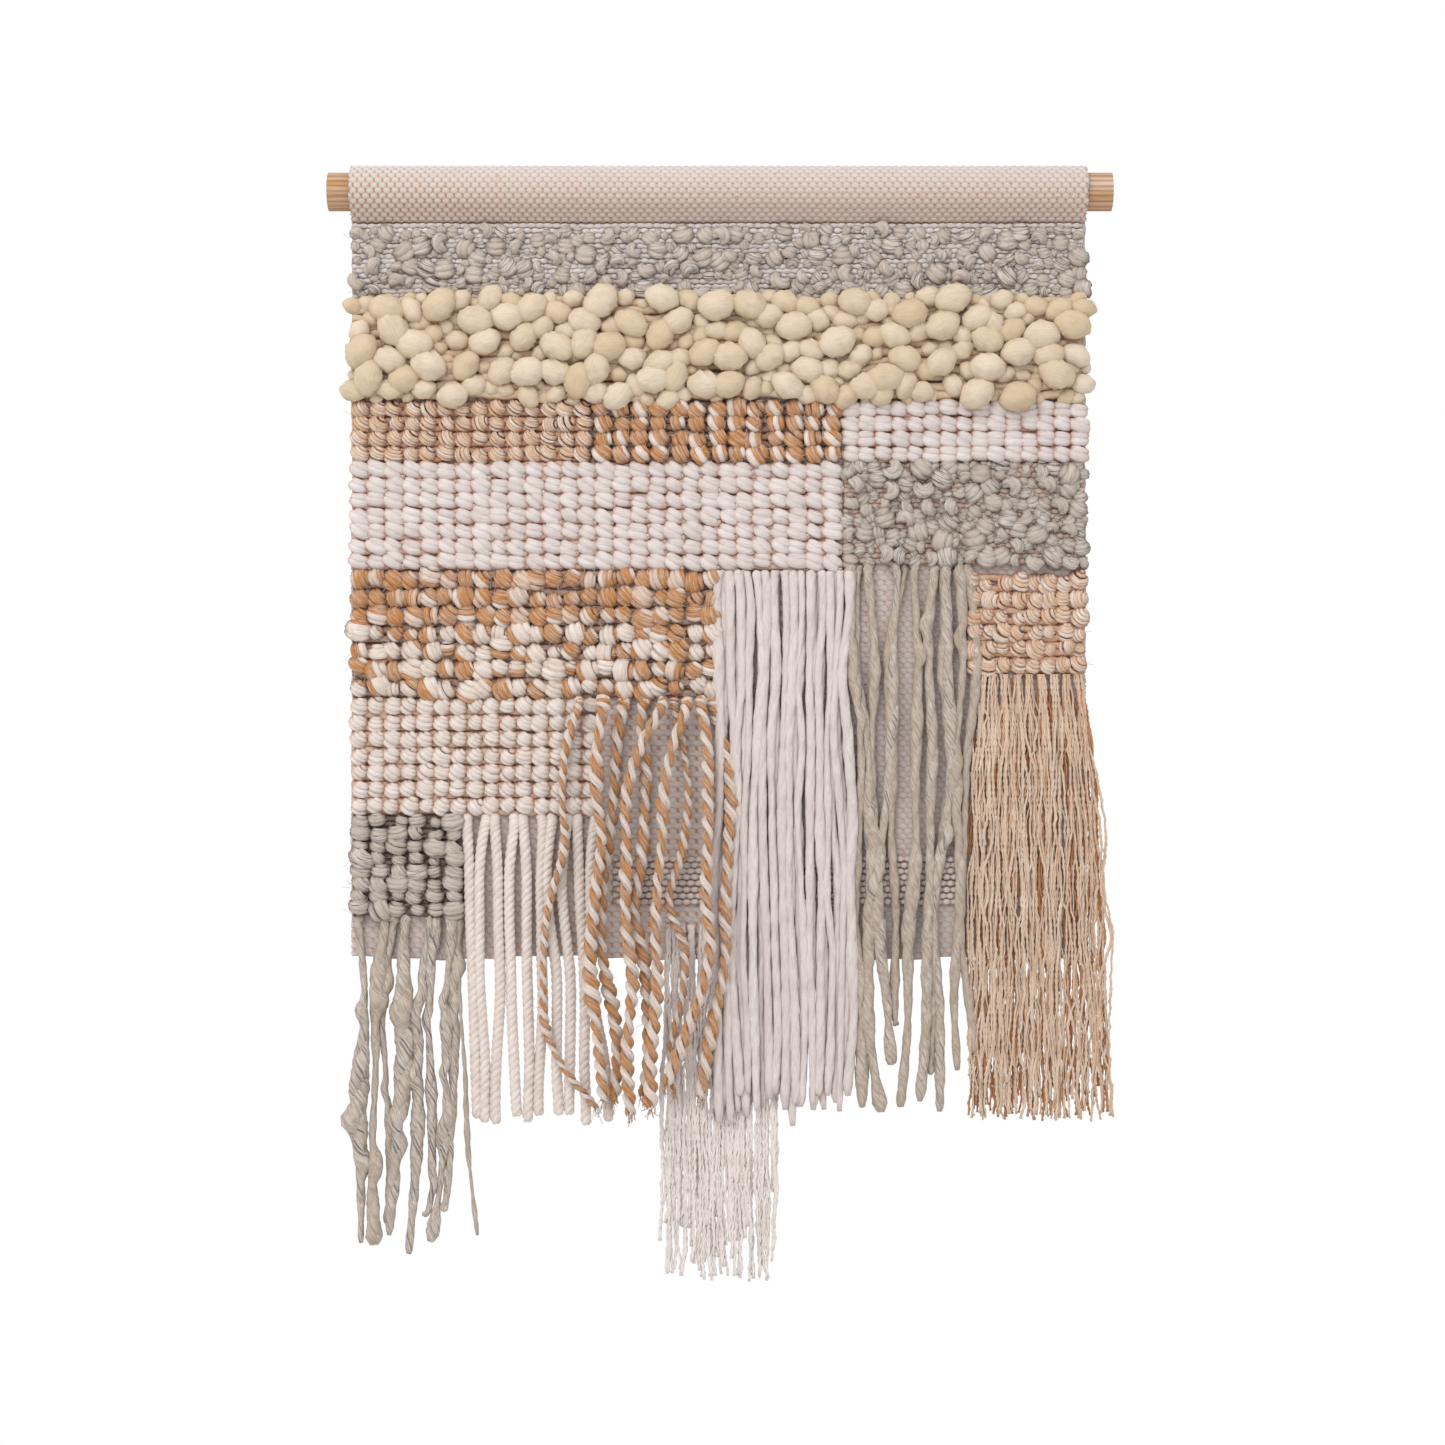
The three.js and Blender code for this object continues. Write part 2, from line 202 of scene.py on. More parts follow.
class YarnWork:
    """Gathers tubes of yarn, in millimetres, and turns them into one piece."""

    def __init__(self):
        self.points, self.quads, self.uvs, self.slots = [], [], [], []
        # The third value is the painted shade of each point, from 0 to 1.
        self.values = {"tone": [], "ply": [], "painted_shade": []}
        self.count = 0

    def add(self, points, quads, uvs, tone, ply, painted_shade, slot=0):
        """Adds points, four-cornered faces and the yarn values of the points."""
        self.points.append(points)
        self.quads.append(quads + self.count)
        self.uvs.append(uvs.reshape(-1, 2))
        self.slots.append(np.full(len(quads), slot))
        for name, value in (("tone", tone), ("ply", ply), ("painted_shade", painted_shade)):
            self.values[name].append(np.broadcast_to(value, (len(points),)))
        self.count += len(points)

    def tubes(self, lines, radii, sides, tone=0.5, ply=0.0, reach=None, slot=0, lump=0.0, groove_shade=0.25):
        """Adds a closed tube round each line.

        reach is how far the pile stands off the cloth: yarn below that gets painted shade, the more the
        nearer it lies to the cloth. A hanging strand has no reach, and only its sides and back get painted
        shade. lump makes the surface uneven, and the groove share paints shade on a pile strand's sides.
        """
        n, rings = lines.shape[:2]
        radii = np.broadcast_to(radii, (n, rings))[:, :, None, None]
        side, up = cross_frames(lines)
        turn = 2 * math.pi * np.arange(sides) / sides
        round_side = np.cos(turn)[None, None, :, None] * side[:, :, None]
        round_up = np.sin(turn)[None, None, :, None] * up[:, :, None]
        across = round_side + round_up
        points = lines[:, :, None] + radii * across
        if lump:
            wave = np.sin(points @ np.array(LUMP_WAVES).T).sum(-1, keepdims=True) / len(LUMP_WAVES)
            points = points + radii * across * lump * wave
        points = points.reshape(-1, 3)

        base = np.arange(n)[:, None, None] * rings * sides
        ring = np.arange(rings - 1)[None, :, None] * sides
        j = np.arange(sides)[None, None, :]
        here, after = base + ring + j, base + ring + (j + 1) % sides
        walls = np.stack([here, after, after + sides, here + sides], axis=-1).reshape(-1, 4)
        fan = np.array([[0, 2 * m + 1, 2 * m + 2, 2 * m + 3] for m in range((sides - 2) // 2)])
        first = (fan[None, :, ::-1] + base.reshape(-1, 1, 1)).reshape(-1, 4)
        last = (fan[None] + base.reshape(-1, 1, 1) + (rings - 1) * sides).reshape(-1, 4)

        step = np.linalg.norm(np.diff(lines, axis=1), axis=-1)
        length = np.concatenate([np.zeros((n, 1)), np.cumsum(step, axis=1)], axis=1) / 10
        length = length + np.arange(n)[:, None] * 0.37
        u0, u1 = length[:, :-1, None], length[:, 1:, None]
        v0, v1 = j / sides, (j + 1) / sides
        corners = [(u0, v0), (u0, v1), (u1, v1), (u1, v0)]
        wall_uv = np.stack(
            [np.stack(np.broadcast_arrays(u, v), axis=-1) for u, v in corners], axis=-2
        ).reshape(-1, 4, 2)
        ends = [np.repeat(length[:, i], len(fan) * 4).reshape(-1, 4) for i in (0, -1)]
        cap_uv = np.concatenate([np.stack([e, np.full_like(e, 0.5)], axis=-1) for e in ends])

        def spread(value):
            """One value for each point, from one value or one for each line."""
            value = np.asarray(value, float)
            if value.ndim == 1:
                value = value[:, None]
            return np.repeat(np.broadcast_to(value, (n, rings)).ravel(), sides) if value.ndim else value

        # Painted shade: a hanging strand on its sides and back, pile yarn the nearer it lies to the cloth,
        # and the sides of pile strands by the groove share.
        if reach is None:
            painted_shade = np.clip((across[..., 1] + 0.35) * 0.7, 0, 0.38).ravel()
        else:
            height = np.repeat(np.broadcast_to(reach, (n,)), rings * sides)
            stand = np.clip((CLOTH_FACE - points[:, 1]) / height, 0, 1)
            side_shade = groove_shade * np.clip(across[..., 1] + 0.8, 0, 1).ravel()
            painted_shade = np.clip(1 - stand + side_shade, 0, 1)
        quads = np.concatenate([walls, first, last])
        uvs = np.concatenate([wall_uv, cap_uv])
        self.add(points, quads, uvs, spread(tone), spread(ply), painted_shade, slot)

    def piece(self, name, materials):
        """The finished piece, in metres, with smooth faces and its yarn values as attributes."""
        points = np.concatenate(self.points) * MM
        quads = np.concatenate(self.quads)
        mesh = bpy.data.meshes.new(name)
        mesh.vertices.add(len(points))
        mesh.vertices.foreach_set("co", points.astype(np.float32).ravel())
        mesh.loops.add(quads.size)
        mesh.loops.foreach_set("vertex_index", quads.astype(np.int32).ravel())
        mesh.polygons.add(len(quads))
        mesh.polygons.foreach_set("loop_start", np.arange(0, quads.size, 4, dtype=np.int32))
        mesh.polygons.foreach_set("material_index", np.concatenate(self.slots).astype(np.int32))
        mesh.polygons.foreach_set("use_smooth", np.ones(len(quads), dtype=bool))
        mesh.update(calc_edges=True)
        layer = mesh.uv_layers.new(name="along_yarn")
        layer.data.foreach_set("uv", np.concatenate(self.uvs).astype(np.float32).ravel())
        for value_name, parts in self.values.items():
            attribute = mesh.attributes.new(value_name, "FLOAT", "POINT")
            attribute.data.foreach_set("value", np.concatenate(parts).astype(np.float32))
        for material in materials:
            mesh.materials.append(material)
        piece = bpy.data.objects.new(name, mesh)
        bpy.context.scene.collection.objects.link(piece)
        return piece


# ------------------------------------------------------------------ materials


def new_material(name, roughness):
    """A fresh material with its node tree and shader."""
    material = bpy.data.materials.new(name)
    material.use_nodes = True
    shader = material.node_tree.nodes["Principled BSDF"]
    shader.inputs["Roughness"].default_value = roughness
    shader.inputs["Specular IOR Level"].default_value = 0.25
    return material, material.node_tree, shader


def add_node(tree, kind, **inputs):
    """A node with its named inputs set."""
    node = tree.nodes.new(kind)
    for name, value in inputs.items():
        node.inputs[name.replace("_", " ")].default_value = value
    return node


def mix_colours(tree, factor, first, second):
    """The output of a colour mix. Each argument is a socket or a fixed value."""
    node = tree.nodes.new("ShaderNodeMix")
    node.data_type = "RGBA"
    for socket, value in zip((node.inputs[0], node.inputs[6], node.inputs[7]), (factor, first, second)):
        if isinstance(value, bpy.types.NodeSocket):
            tree.links.new(value, socket)
        elif isinstance(value, (int, float)):
            socket.default_value = value
        else:
            socket.default_value = (*value, 1.0)
    return node.outputs[2]


def remap(tree, value, low, high, to_low=0.0, to_high=1.0):
    """A value socket moved from one range to another, and held inside it."""
    node = add_node(tree, "ShaderNodeMapRange")
    for name, number in zip(("From Min", "From Max", "To Min", "To Max"), (low, high, to_low, to_high)):
        node.inputs[name].default_value = number
    tree.links.new(value, node.inputs["Value"])
    return node.outputs["Result"]


def attribute_value(tree, name):
    """One of the yarn values kept on the piece's points."""
    node = tree.nodes.new("ShaderNodeAttribute")
    node.attribute_name = name
    return node.outputs["Fac"]


def stretched_noise(tree, source, stretch, scale, detail=3.0, lay=0.0):
    """Noise drawn out by the given stretch along each axis, after a turn by lay about the third."""
    if lay:
        turned = tree.nodes.new("ShaderNodeMapping")
        turned.inputs["Rotation"].default_value = (0, 0, lay)
        tree.links.new(source, turned.inputs["Vector"])
        source = turned.outputs["Vector"]
    mapping = tree.nodes.new("ShaderNodeMapping")
    mapping.inputs["Scale"].default_value = stretch
    tree.links.new(source, mapping.inputs["Vector"])
    noise = add_node(tree, "ShaderNodeTexNoise", Scale=scale, Detail=detail, Roughness=0.6)
    tree.links.new(mapping.outputs["Vector"], noise.inputs["Vector"])
    return noise.outputs["Fac"]


def bump(tree, shader, heights, distance=0.0004, strength=0.5):
    """Adds the height sockets one on another as fine relief."""
    normal = None
    for height in heights:
        node = add_node(tree, "ShaderNodeBump", Strength=strength, Distance=distance)
        tree.links.new(height, node.inputs["Height"])
        if normal is not None:
            tree.links.new(normal, node.inputs["Normal"])
        normal = node.outputs["Normal"]
    tree.links.new(normal, shader.inputs["Normal"])


def yarn_material(name, shade, body, light, crevice, other=None, streak=None, fibre=14.0, contrast=0.5,
                  relief=0.55, lay=0.0):
    """Spun yarn: fibre lines along the strand, mottled colour, and warm painted shade near the cloth.

    shade, body and light are the yarn's own tones. The crevice colour is painted shade, put on yarn deep
    in the pile and on the sides and backs of hanging strands. other is the second ply's colour and streak
    the colour of stray dark fibres. lay turns the fibres round the strand.
    """
    material, tree, shader = new_material(name, 0.92)
    coordinates = tree.nodes.new("ShaderNodeTexCoord")
    uv, place = coordinates.outputs["UV"], coordinates.outputs["Object"]
    fibres = stretched_noise(tree, uv, (0.6, fibre, 1.0), 2.2, 4.0, lay)
    threads = stretched_noise(tree, uv, (0.3, 2.6 * fibre, 1.0), 2.0, 2.0, lay)
    mottle = stretched_noise(tree, place, (1, 1, 1), 95.0, 3.0)
    fuzz = stretched_noise(tree, place, (1, 1, 1), 900.0, 2.0)

    tone = attribute_value(tree, "tone")
    colour = mix_colours(tree, tone, body, light)
    if other is not None:
        mixed = add_node(tree, "ShaderNodeMath")
        mixed.operation = "MULTIPLY_ADD"
        tree.links.new(remap(tree, fibres, 0.4, 0.6, -0.5, 0.5), mixed.inputs[0])
        mixed.inputs[1].default_value = 0.55
        tree.links.new(attribute_value(tree, "ply"), mixed.inputs[2])
        varied = mix_colours(tree, remap(tree, threads, 0.35, 0.6), darker(other, 0.62), other)
        colour = mix_colours(tree, remap(tree, mixed.outputs[0], 0.1, 0.9), colour, varied)
    colour = mix_colours(tree, remap(tree, fibres, 0.34, 0.55, contrast, 0.0), colour, shade)
    colour = mix_colours(tree, remap(tree, threads, 0.36, 0.5, 0.6 * contrast, 0.0), colour, shade)
    colour = mix_colours(tree, remap(tree, mottle, 0.5, 0.75, 0.0, 0.35), colour, shade)
    if streak is not None:
        streaks = stretched_noise(tree, uv, (0.12, 0.8 * fibre, 1.0), 2.6, 1.0, lay)
        some = remap(tree, tone, 0.4, 0.9)
        share = add_node(tree, "ShaderNodeMath")
        share.operation = "MULTIPLY"
        tree.links.new(remap(tree, streaks, 0.56, 0.62, 0.0, 0.85), share.inputs[0])
        tree.links.new(some, share.inputs[1])
        colour = mix_colours(tree, share.outputs[0], colour, streak)
    # Painted shade: yarn deep in the pile and the sides and backs of hanging strands are mixed towards the
    # crevice colour.
    painted_shade = attribute_value(tree, "painted_shade")
    colour = mix_colours(tree, remap(tree, painted_shade, 0.2, 0.8, 0.0, 0.9), colour, crevice)
    tree.links.new(colour, shader.inputs["Base Color"])

    shader.inputs["Sheen Weight"].default_value = 0.2
    shader.inputs["Sheen Roughness"].default_value = 0.55
    shader.inputs["Sheen Tint"].default_value = (*light, 1.0)
    bump(tree, shader, [fibres, threads, fuzz], distance=0.0005, strength=relief)
    return material


def cloth_material(name, shade, body, crevice):
    """Plain woven cotton: mottled and flecked, with painted shade in warm tan between the beads, where the
    yarns cross.
    """
    material, tree, shader = new_material(name, 0.94)
    coordinates = tree.nodes.new("ShaderNodeTexCoord")
    place = coordinates.outputs["Object"]
    along = stretched_noise(tree, place, (0.25, 1, 1), 1500.0, 2.0)
    mottle = stretched_noise(tree, place, (1, 1, 1), 60.0, 4.0)
    flecks = stretched_noise(tree, place, (0.5, 1, 1), 420.0, 2.0)
    # The tone runs from the darker shade to the body colour; on the sleeve it is painted light, paler
    # towards the top.
    colour = mix_colours(tree, remap(tree, attribute_value(tree, "tone"), 0, 1), shade, body)
    colour = mix_colours(tree, remap(tree, mottle, 0.45, 0.75, 0.0, 0.35), colour, shade)
    # Small dark flecks in the cotton, in the crevice colour.
    colour = mix_colours(tree, remap(tree, flecks, 0.64, 0.70, 0.0, 0.5), colour, crevice)
    # Painted shade between the beads of the weave, on the back of the cloth and inside the sleeve.
    painted_shade = attribute_value(tree, "painted_shade")
    colour = mix_colours(tree, remap(tree, painted_shade, 0.2, 0.75, 0.0, 0.95), colour, crevice)
    tree.links.new(colour, shader.inputs["Base Color"])
    shader.inputs["Sheen Weight"].default_value = 0.15
    shader.inputs["Sheen Roughness"].default_value = 0.6
    bump(tree, shader, [along, flecks], distance=0.0004, strength=0.5)
    return material


def wood_material(name, shade, body, light):
    """Pale oiled hardwood with its grain along the rod and growth rings on its ends."""
    material, tree, shader = new_material(name, 0.48)
    coordinates = tree.nodes.new("ShaderNodeTexCoord")
    place = coordinates.outputs["Object"]
    grain = stretched_noise(tree, place, (0.035, 1, 1), 420.0, 6.0)
    pores = stretched_noise(tree, place, (0.02, 1, 1), 1900.0, 2.0)
    broad = stretched_noise(tree, place, (0.06, 1, 1), 90.0, 3.0)
    mapping = tree.nodes.new("ShaderNodeMapping")
    mapping.inputs["Location"].default_value = (0, 0.009, 0.016)
    mapping.inputs["Scale"].default_value = (0.03, 1, 1)
    tree.links.new(place, mapping.inputs["Vector"])
    rings = add_node(tree, "ShaderNodeTexWave", Scale=95.0, Distortion=3.0, Detail=3.0, Detail_Scale=1.4)
    rings.wave_type = "RINGS"
    rings.rings_direction = "X"
    tree.links.new(mapping.outputs["Vector"], rings.inputs["Vector"])
    colour = mix_colours(tree, remap(tree, broad, 0.3, 0.7), body, light)
    colour = mix_colours(tree, remap(tree, rings.outputs["Fac"], 0.35, 0.95, 0.0, 0.55), colour, shade)
    colour = mix_colours(tree, remap(tree, grain, 0.5, 0.72, 0.0, 0.6), colour, shade)
    colour = mix_colours(tree, remap(tree, pores, 0.62, 0.7, 0.0, 0.7), colour, shade)
    tree.links.new(colour, shader.inputs["Base Color"])
    tree.links.new(remap(tree, grain, 0.3, 0.8, 0.4, 0.62), shader.inputs["Roughness"])
    bump(tree, shader, [grain, pores], distance=0.0002, strength=0.35)
    return material


def kept_material(name, maker, *arguments, **options):
    """The named material, made the first time that it is asked for."""
    return bpy.data.materials.get(name) or maker(name, *arguments, **options)


# ------------------------------------------------------------------ what a user can change


def colour_property(name, description, default):
    """A colour that shows in the panel."""
    return bpy.props.FloatVectorProperty(
        name=name, description=description, subtype="COLOR", size=3, min=0, max=1, default=default
    )


class TapestryColours(bpy.types.PropertyGroup):
    """The colours of the wood, the cloth and the yarns."""

    wood: colour_property("Wood", "Body colour of the dowel", tint(172, 123, 70))
    ground: colour_property("Ground cotton", "The woven cloth", tint(199, 192, 190))
    # The crevice colour is the warm tan of painted shade, deep in the pile and between the beads of the
    # cloth; the cloth's small flecks share it.
    crevice: colour_property("Crevice", "Warm tone deep in the pile", tint(176, 126, 92))
    grey: colour_property("Grey wool", "Bubbles, slubs and tails", tint(189, 177, 167))
    cream: colour_property("Cream wool", "The wide bubble band", tint(202, 182, 153))
    beige: colour_property("Beige yarn", "Loops and fringe", tint(210, 172, 140))
    rust: colour_property("Rust ply", "The dark ply of the twist", tint(191, 122, 38))
    pale: colour_property("Pale ply", "The light ply of the twist", tint(222, 208, 199))
    white: colour_property("White cotton", "Wrapped band, loops and roving", tint(209, 197, 194))
    ivory: colour_property("Ivory wool", "Ball loops and ropes", tint(219, 206, 198))
    fine: colour_property("Fine cotton", "The longest thin fringe", tint(236, 226, 222))


class TapestrySizes(bpy.types.PropertyGroup):
    """Sizes of the weave and the ropes."""

    bead_width: bpy.props.FloatProperty(
        name="Bead width", description="Width of one bead of the weave", default=0.0055, unit="LENGTH"
    )
    bead_height: bpy.props.FloatProperty(
        name="Bead height", description="Height of one row of the weave", default=0.0034, unit="LENGTH"
    )
    bead_relief: bpy.props.FloatProperty(
        name="Bead relief", description="How far a bead stands out", default=0.0013, unit="LENGTH"
    )
    rust_turn: bpy.props.FloatProperty(
        name="Rust rope turn", description="Length of one turn of the two plies", default=0.0155,
        unit="LENGTH",
    )
    ivory_turn: bpy.props.FloatProperty(
        name="Ivory rope turn", description="Length of one turn of the three plies", default=0.0125,
        unit="LENGTH",
    )


def colours():
    """The colours set in the panel, as plain tuples by name."""
    group = bpy.context.scene.tapestry_colours
    names = TapestryColours.__annotations__.keys()
    return {name: tuple(getattr(group, name)) for name in names}


def darker(colour, share):
    """A darker, slightly warmer tone of a colour."""
    red, green, blue = colour
    return (red * share, green * share * 0.96, blue * share * 0.9)


def lighter(colour, share):
    """A tone of a colour nearer to white."""
    return tuple(c + (1 - c) * share for c in colour)


def wool(key):
    """The yarn material for one of the hanging's yarns."""
    c = colours()
    bodies = {**c, "twist": c["pale"], "slub": darker(c["grey"], 0.88), "strands": c["beige"]}
    body = bodies[key]
    extras = {
        "grey": {"streak": tint(58, 56, 62), "contrast": 0.7, "fibre": 8.0, "lay": 0.2},
        "slub": {"streak": tint(84, 84, 96), "contrast": 0.95, "fibre": 5.0, "lay": 0.32},
        "strands": {"other": tint(240, 222, 204), "fibre": 4.0, "contrast": 0.3},
        "twist": {"other": c["rust"], "fibre": 6.0, "contrast": 0.7},
        "beige": {"other": lighter(c["beige"], 0.62), "fibre": 5.0, "contrast": 0.6},
        "cream": {"fibre": 24.0, "contrast": 0.25, "relief": 0.4},
        "white": {"fibre": 9.0, "contrast": 0.4, "relief": 0.5, "lay": 0.12},
        "ivory": {"fibre": 7.0, "contrast": 0.45},
        "ground": {"fibre": 6.0, "contrast": 0.4},
        "fine": {"fibre": 4.0, "contrast": 0.4},
    }
    # The colours of painted shade, deep in the pile and on the sides and backs of hanging yarn.
    crevices = {
        "white": tint(196, 150, 122),
        "ivory": tint(196, 152, 124),
        "fine": tint(214, 188, 170),
        "cream": tint(184, 136, 92),
        "grey": tint(96, 74, 60),
        "slub": tint(122, 98, 82),
        "beige": tint(170, 120, 88),
        "strands": tint(186, 128, 84),
        "twist": tint(128, 82, 54),
        "ground": c["crevice"],
    }
    return kept_material(
        "wool_" + key,
        yarn_material,
        darker(body, 0.66),
        body,
        lighter(body, 0.22),
        crevices[key],
        **extras.get(key, {}),
    )


def ground_cotton():
    """The material of the cloth."""
    c = colours()
    shade = darker(c["ground"], 0.86)
    return kept_material("ground_cotton", cloth_material, shade, c["ground"], c["crevice"])


# ------------------------------------------------------------------ rod and cloth


def make_dowel():
    """The rod: a turned cylinder with inset, softened ends."""
    low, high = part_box("dowel")
    radius = (high.z - low.z) / 2
    bpy.ops.object.select_all(action="DESELECT")
    bpy.ops.mesh.primitive_cylinder_add(
        vertices=64,
        radius=radius,
        depth=high.x - low.x,
        location=((low.x + high.x) / 2, 0, 0),
        rotation=(0, math.pi / 2, 0),
    )
    rod = bpy.context.active_object
    rod.name = "hardwood_dowel"
    bpy.ops.object.transform_apply(location=True, rotation=True, scale=True)
    bpy.ops.object.mode_set(mode="EDIT")
    bpy.ops.mesh.select_all(action="DESELECT")
    shape = bmesh.from_edit_mesh(rod.data)
    for face in shape.faces:
        face.select = abs(face.normal.x) > 0.9
    bmesh.update_edit_mesh(rod.data)
    bpy.ops.mesh.inset(thickness=radius * 0.3)
    bpy.ops.mesh.select_all(action="DESELECT")
    shape = bmesh.from_edit_mesh(rod.data)
    for edge in shape.edges:
        at_end = all(min(abs(v.co.x - low.x), abs(v.co.x - high.x)) < 1e-5 for v in edge.verts)
        on_rim = all(math.hypot(v.co.y, v.co.z) > radius * 0.99 for v in edge.verts)
        edge.select = at_end and on_rim
    bmesh.update_edit_mesh(rod.data)
    bpy.ops.mesh.bevel(offset=1.6 * MM, segments=4, profile=0.5)
    bpy.ops.object.mode_set(mode="OBJECT")
    bpy.ops.object.shade_smooth_by_angle(angle=math.radians(40))
    c = colours()["wood"]
    wood = kept_material("oiled_hardwood", wood_material, darker(c, 0.55), c, lighter(c, 0.3))
    rod.data.materials.append(wood)
    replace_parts(rod, "dowel")
    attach(rod, "rod")
    return rod


def bead_height(x, v, width, height):
    """Relief of a plain weave, from 0 to 1: beads in rows, each row half a bead along."""
    best = np.zeros(np.broadcast(x, v).shape)
    for neighbour in (-1, 0, 1):
        row = np.floor(v / height) + neighbour
        across = ((x / width + 0.5 * (row % 2)) % 1.0 - 0.5) / 0.5
        down = (v / height - row - 0.5) / 0.66
        best = np.maximum(best, np.clip(1 - across**2 - down**2, 0, 1))
    return np.sqrt(best)


def weave_sizes():
    """Bead width, bead height and relief, in millimetres."""
    sizes = bpy.context.scene.tapestry_sizes
    return sizes.bead_width / MM, sizes.bead_height / MM, sizes.bead_relief / MM


def grid_faces(columns, rows):
    """Four-cornered faces of a grid of points stored row by row."""
    i, j = np.meshgrid(np.arange(columns - 1), np.arange(rows - 1))
    here = (j * columns + i).ravel()
    down = ((j + 1) * columns + i).ravel()
    return np.stack([here, down, down + 1, here + 1], axis=-1)


def make_sleeve():
    """The cloth's sleeve round the dowel, woven in beads, down to the seam."""
    low, high = node_box("header_sleeve")
    width, height, relief = weave_sizes()
    outer = (high[1] - low[1]) / 2
    inner = outer - 3.6
    seam_z, seam_half = low[2], 2.6

    def loop_points(radius, half, foot, count):
        """Section of the sleeve: an arc round the dowel and two straight sides down to the seam."""
        reach = math.hypot(half, foot)
        touch = math.atan2(foot, half) + math.acos(min(1.0, radius / reach))
        arc = np.linspace(touch, math.pi - touch, count)
        curve = np.stack([radius * np.cos(arc), radius * np.sin(arc)], axis=-1)
        slope = np.linspace(0, 1, 7)[:-1, None]
        start, end = np.array([half, foot]), np.array([-half, foot])
        rising = start + (curve[0] - start) * slope
        falling = end + (curve[-1] - end) * slope[::-1]
        return np.concatenate([rising, curve, falling])

    rng = np.random.default_rng(11)
    outline = loop_points(outer - relief, seam_half, seam_z, 400)
    step = np.concatenate([[0], np.cumsum(np.linalg.norm(np.diff(outline, axis=0), axis=1))])
    rows = int(round(step[-1] / (height / 4)))
    along = np.linspace(0, step[-1], rows)
    yz = np.stack([np.interp(along, step, outline[:, k]) for k in range(2)], axis=-1)
    flow = np.gradient(yz, axis=0)
    outward = unit(np.stack([flow[:, 1], -flow[:, 0]], axis=-1))
    columns = int(round((high[0] - low[0]) / (width / 6)))
    x = np.linspace(low[0], high[0], columns)
    grid_x, grid_v = np.meshgrid(x, along)
    bead = bead_height(grid_x, grid_v, width, height)
    wave = 0.35 * np.sin(grid_x / 31 + 1.3) * np.sin(grid_v / 17)
    lift = relief * bead + wave
    edge = np.clip(1 - np.minimum(grid_x - low[0], high[0] - grid_x) / 3.0, 0, 1)
    fray = rng.uniform(-1.2, 0.6, rows).repeat(columns).reshape(rows, columns) * edge
    sign = np.sign(grid_x)
    points = np.stack(
        [
            grid_x + sign * fray,
            yz[:, 0, None] + outward[:, 0, None] * lift,
            yz[:, 1, None] + outward[:, 1, None] * lift,
        ],
        axis=-1,
    )
    inside = loop_points(inner, 0.3, seam_z + 3.0, 18)[::-1]
    inner_points = np.stack(
        [
            np.broadcast_to(x, (len(inside), columns)),
            np.broadcast_to(inside[:, 0, None], (len(inside), columns)),
            np.broadcast_to(inside[:, 1, None], (len(inside), columns)),
        ],
        axis=-1,
    )
    inner_rows = inner_points.shape[0]
    all_points = np.concatenate([points.reshape(-1, 3), inner_points.reshape(-1, 3)])
    outer_faces = grid_faces(columns, rows)
    inner_faces = grid_faces(columns, inner_rows) + rows * columns
    seam_out, seam_in = (rows - 1) * columns, rows * columns
    i = np.arange(columns - 1)
    front = np.stack([seam_out + i, seam_in + i, seam_in + i + 1, seam_out + i + 1], axis=-1)
    last_in = rows * columns + (inner_rows - 1) * columns
    back = np.stack([last_in + i, i, i + 1, last_in + i + 1], axis=-1)
    work_faces = np.concatenate([outer_faces, inner_faces, front, back])
    # Painted light from above: towards its top the sleeve gets a paler tone and less painted shade between
    # its beads. Its inside gets painted shade and a darker tone.
    light_from_above = np.clip((points[..., 2] + 6) / 18, 0, 1)
    painted_shade = np.concatenate([((1 - bead) * (1 - 0.25 * light_from_above)).ravel(), np.full(inner_rows * columns, 0.6)])
    painted_top_light = np.clip(0.55 + points[..., 2].ravel() / 40, 0, 1)
    tone = np.concatenate([painted_top_light, np.full(inner_rows * columns, 0.4)])
    # The two end rims join each outer row to the nearest inner one, in strips of n-gons.
    rims = []
    spans = np.linspace(0, rows - 1, inner_rows).round().astype(int)
    for column in (0, columns - 1):
        for k in range(inner_rows - 1):
            out_a, out_b = spans[k], spans[k + 1]
            outer_run = [r * columns + column for r in range(out_a, out_b + 1)]
            inner_a = rows * columns + (inner_rows - 1 - k) * columns + column
            inner_b = inner_a - columns
            ring = outer_run + [inner_b, inner_a]
            rims.append(ring if column else ring[::-1])
    sleeve = cloth_piece("woven_header_sleeve", all_points, work_faces, rims, painted_shade, tone)
    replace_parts(sleeve, "header_sleeve")
    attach(sleeve, "sleeve")
    return sleeve


def cloth_piece(name, points, quads, extra_faces, painted_shade, tone):
    """A cloth mesh from points in millimetres, a quad grid and a few many-sided faces."""
    mesh = bpy.data.meshes.new(name)
    faces = [tuple(q) for q in quads.tolist()] + [tuple(f) for f in extra_faces]
    mesh.from_pydata((points * MM).tolist(), [], faces)
    mesh.polygons.foreach_set("use_smooth", np.ones(len(faces), dtype=bool))
    # The painted shade and the tone go to the cloth material; on the sleeve the tone is painted light from
    # above.
    for value_name, value in (("painted_shade", painted_shade), ("tone", tone)):
        attribute = mesh.attributes.new(value_name, "FLOAT", "POINT")
        attribute.data.foreach_set("value", np.asarray(value, np.float32))
    mesh.materials.append(ground_cotton())
    piece = bpy.data.objects.new(name, mesh)
    bpy.context.scene.collection.objects.link(piece)
    shape = bmesh.new()
    shape.from_mesh(mesh)
    bmesh.ops.recalc_face_normals(shape, faces=shape.faces)
    shape.to_mesh(mesh)
    shape.free()
    return piece


def bend_at_seam(piece):
    """Bakes the piece's transform into its mesh; nothing lets it bend below the seam."""
    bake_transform(piece)


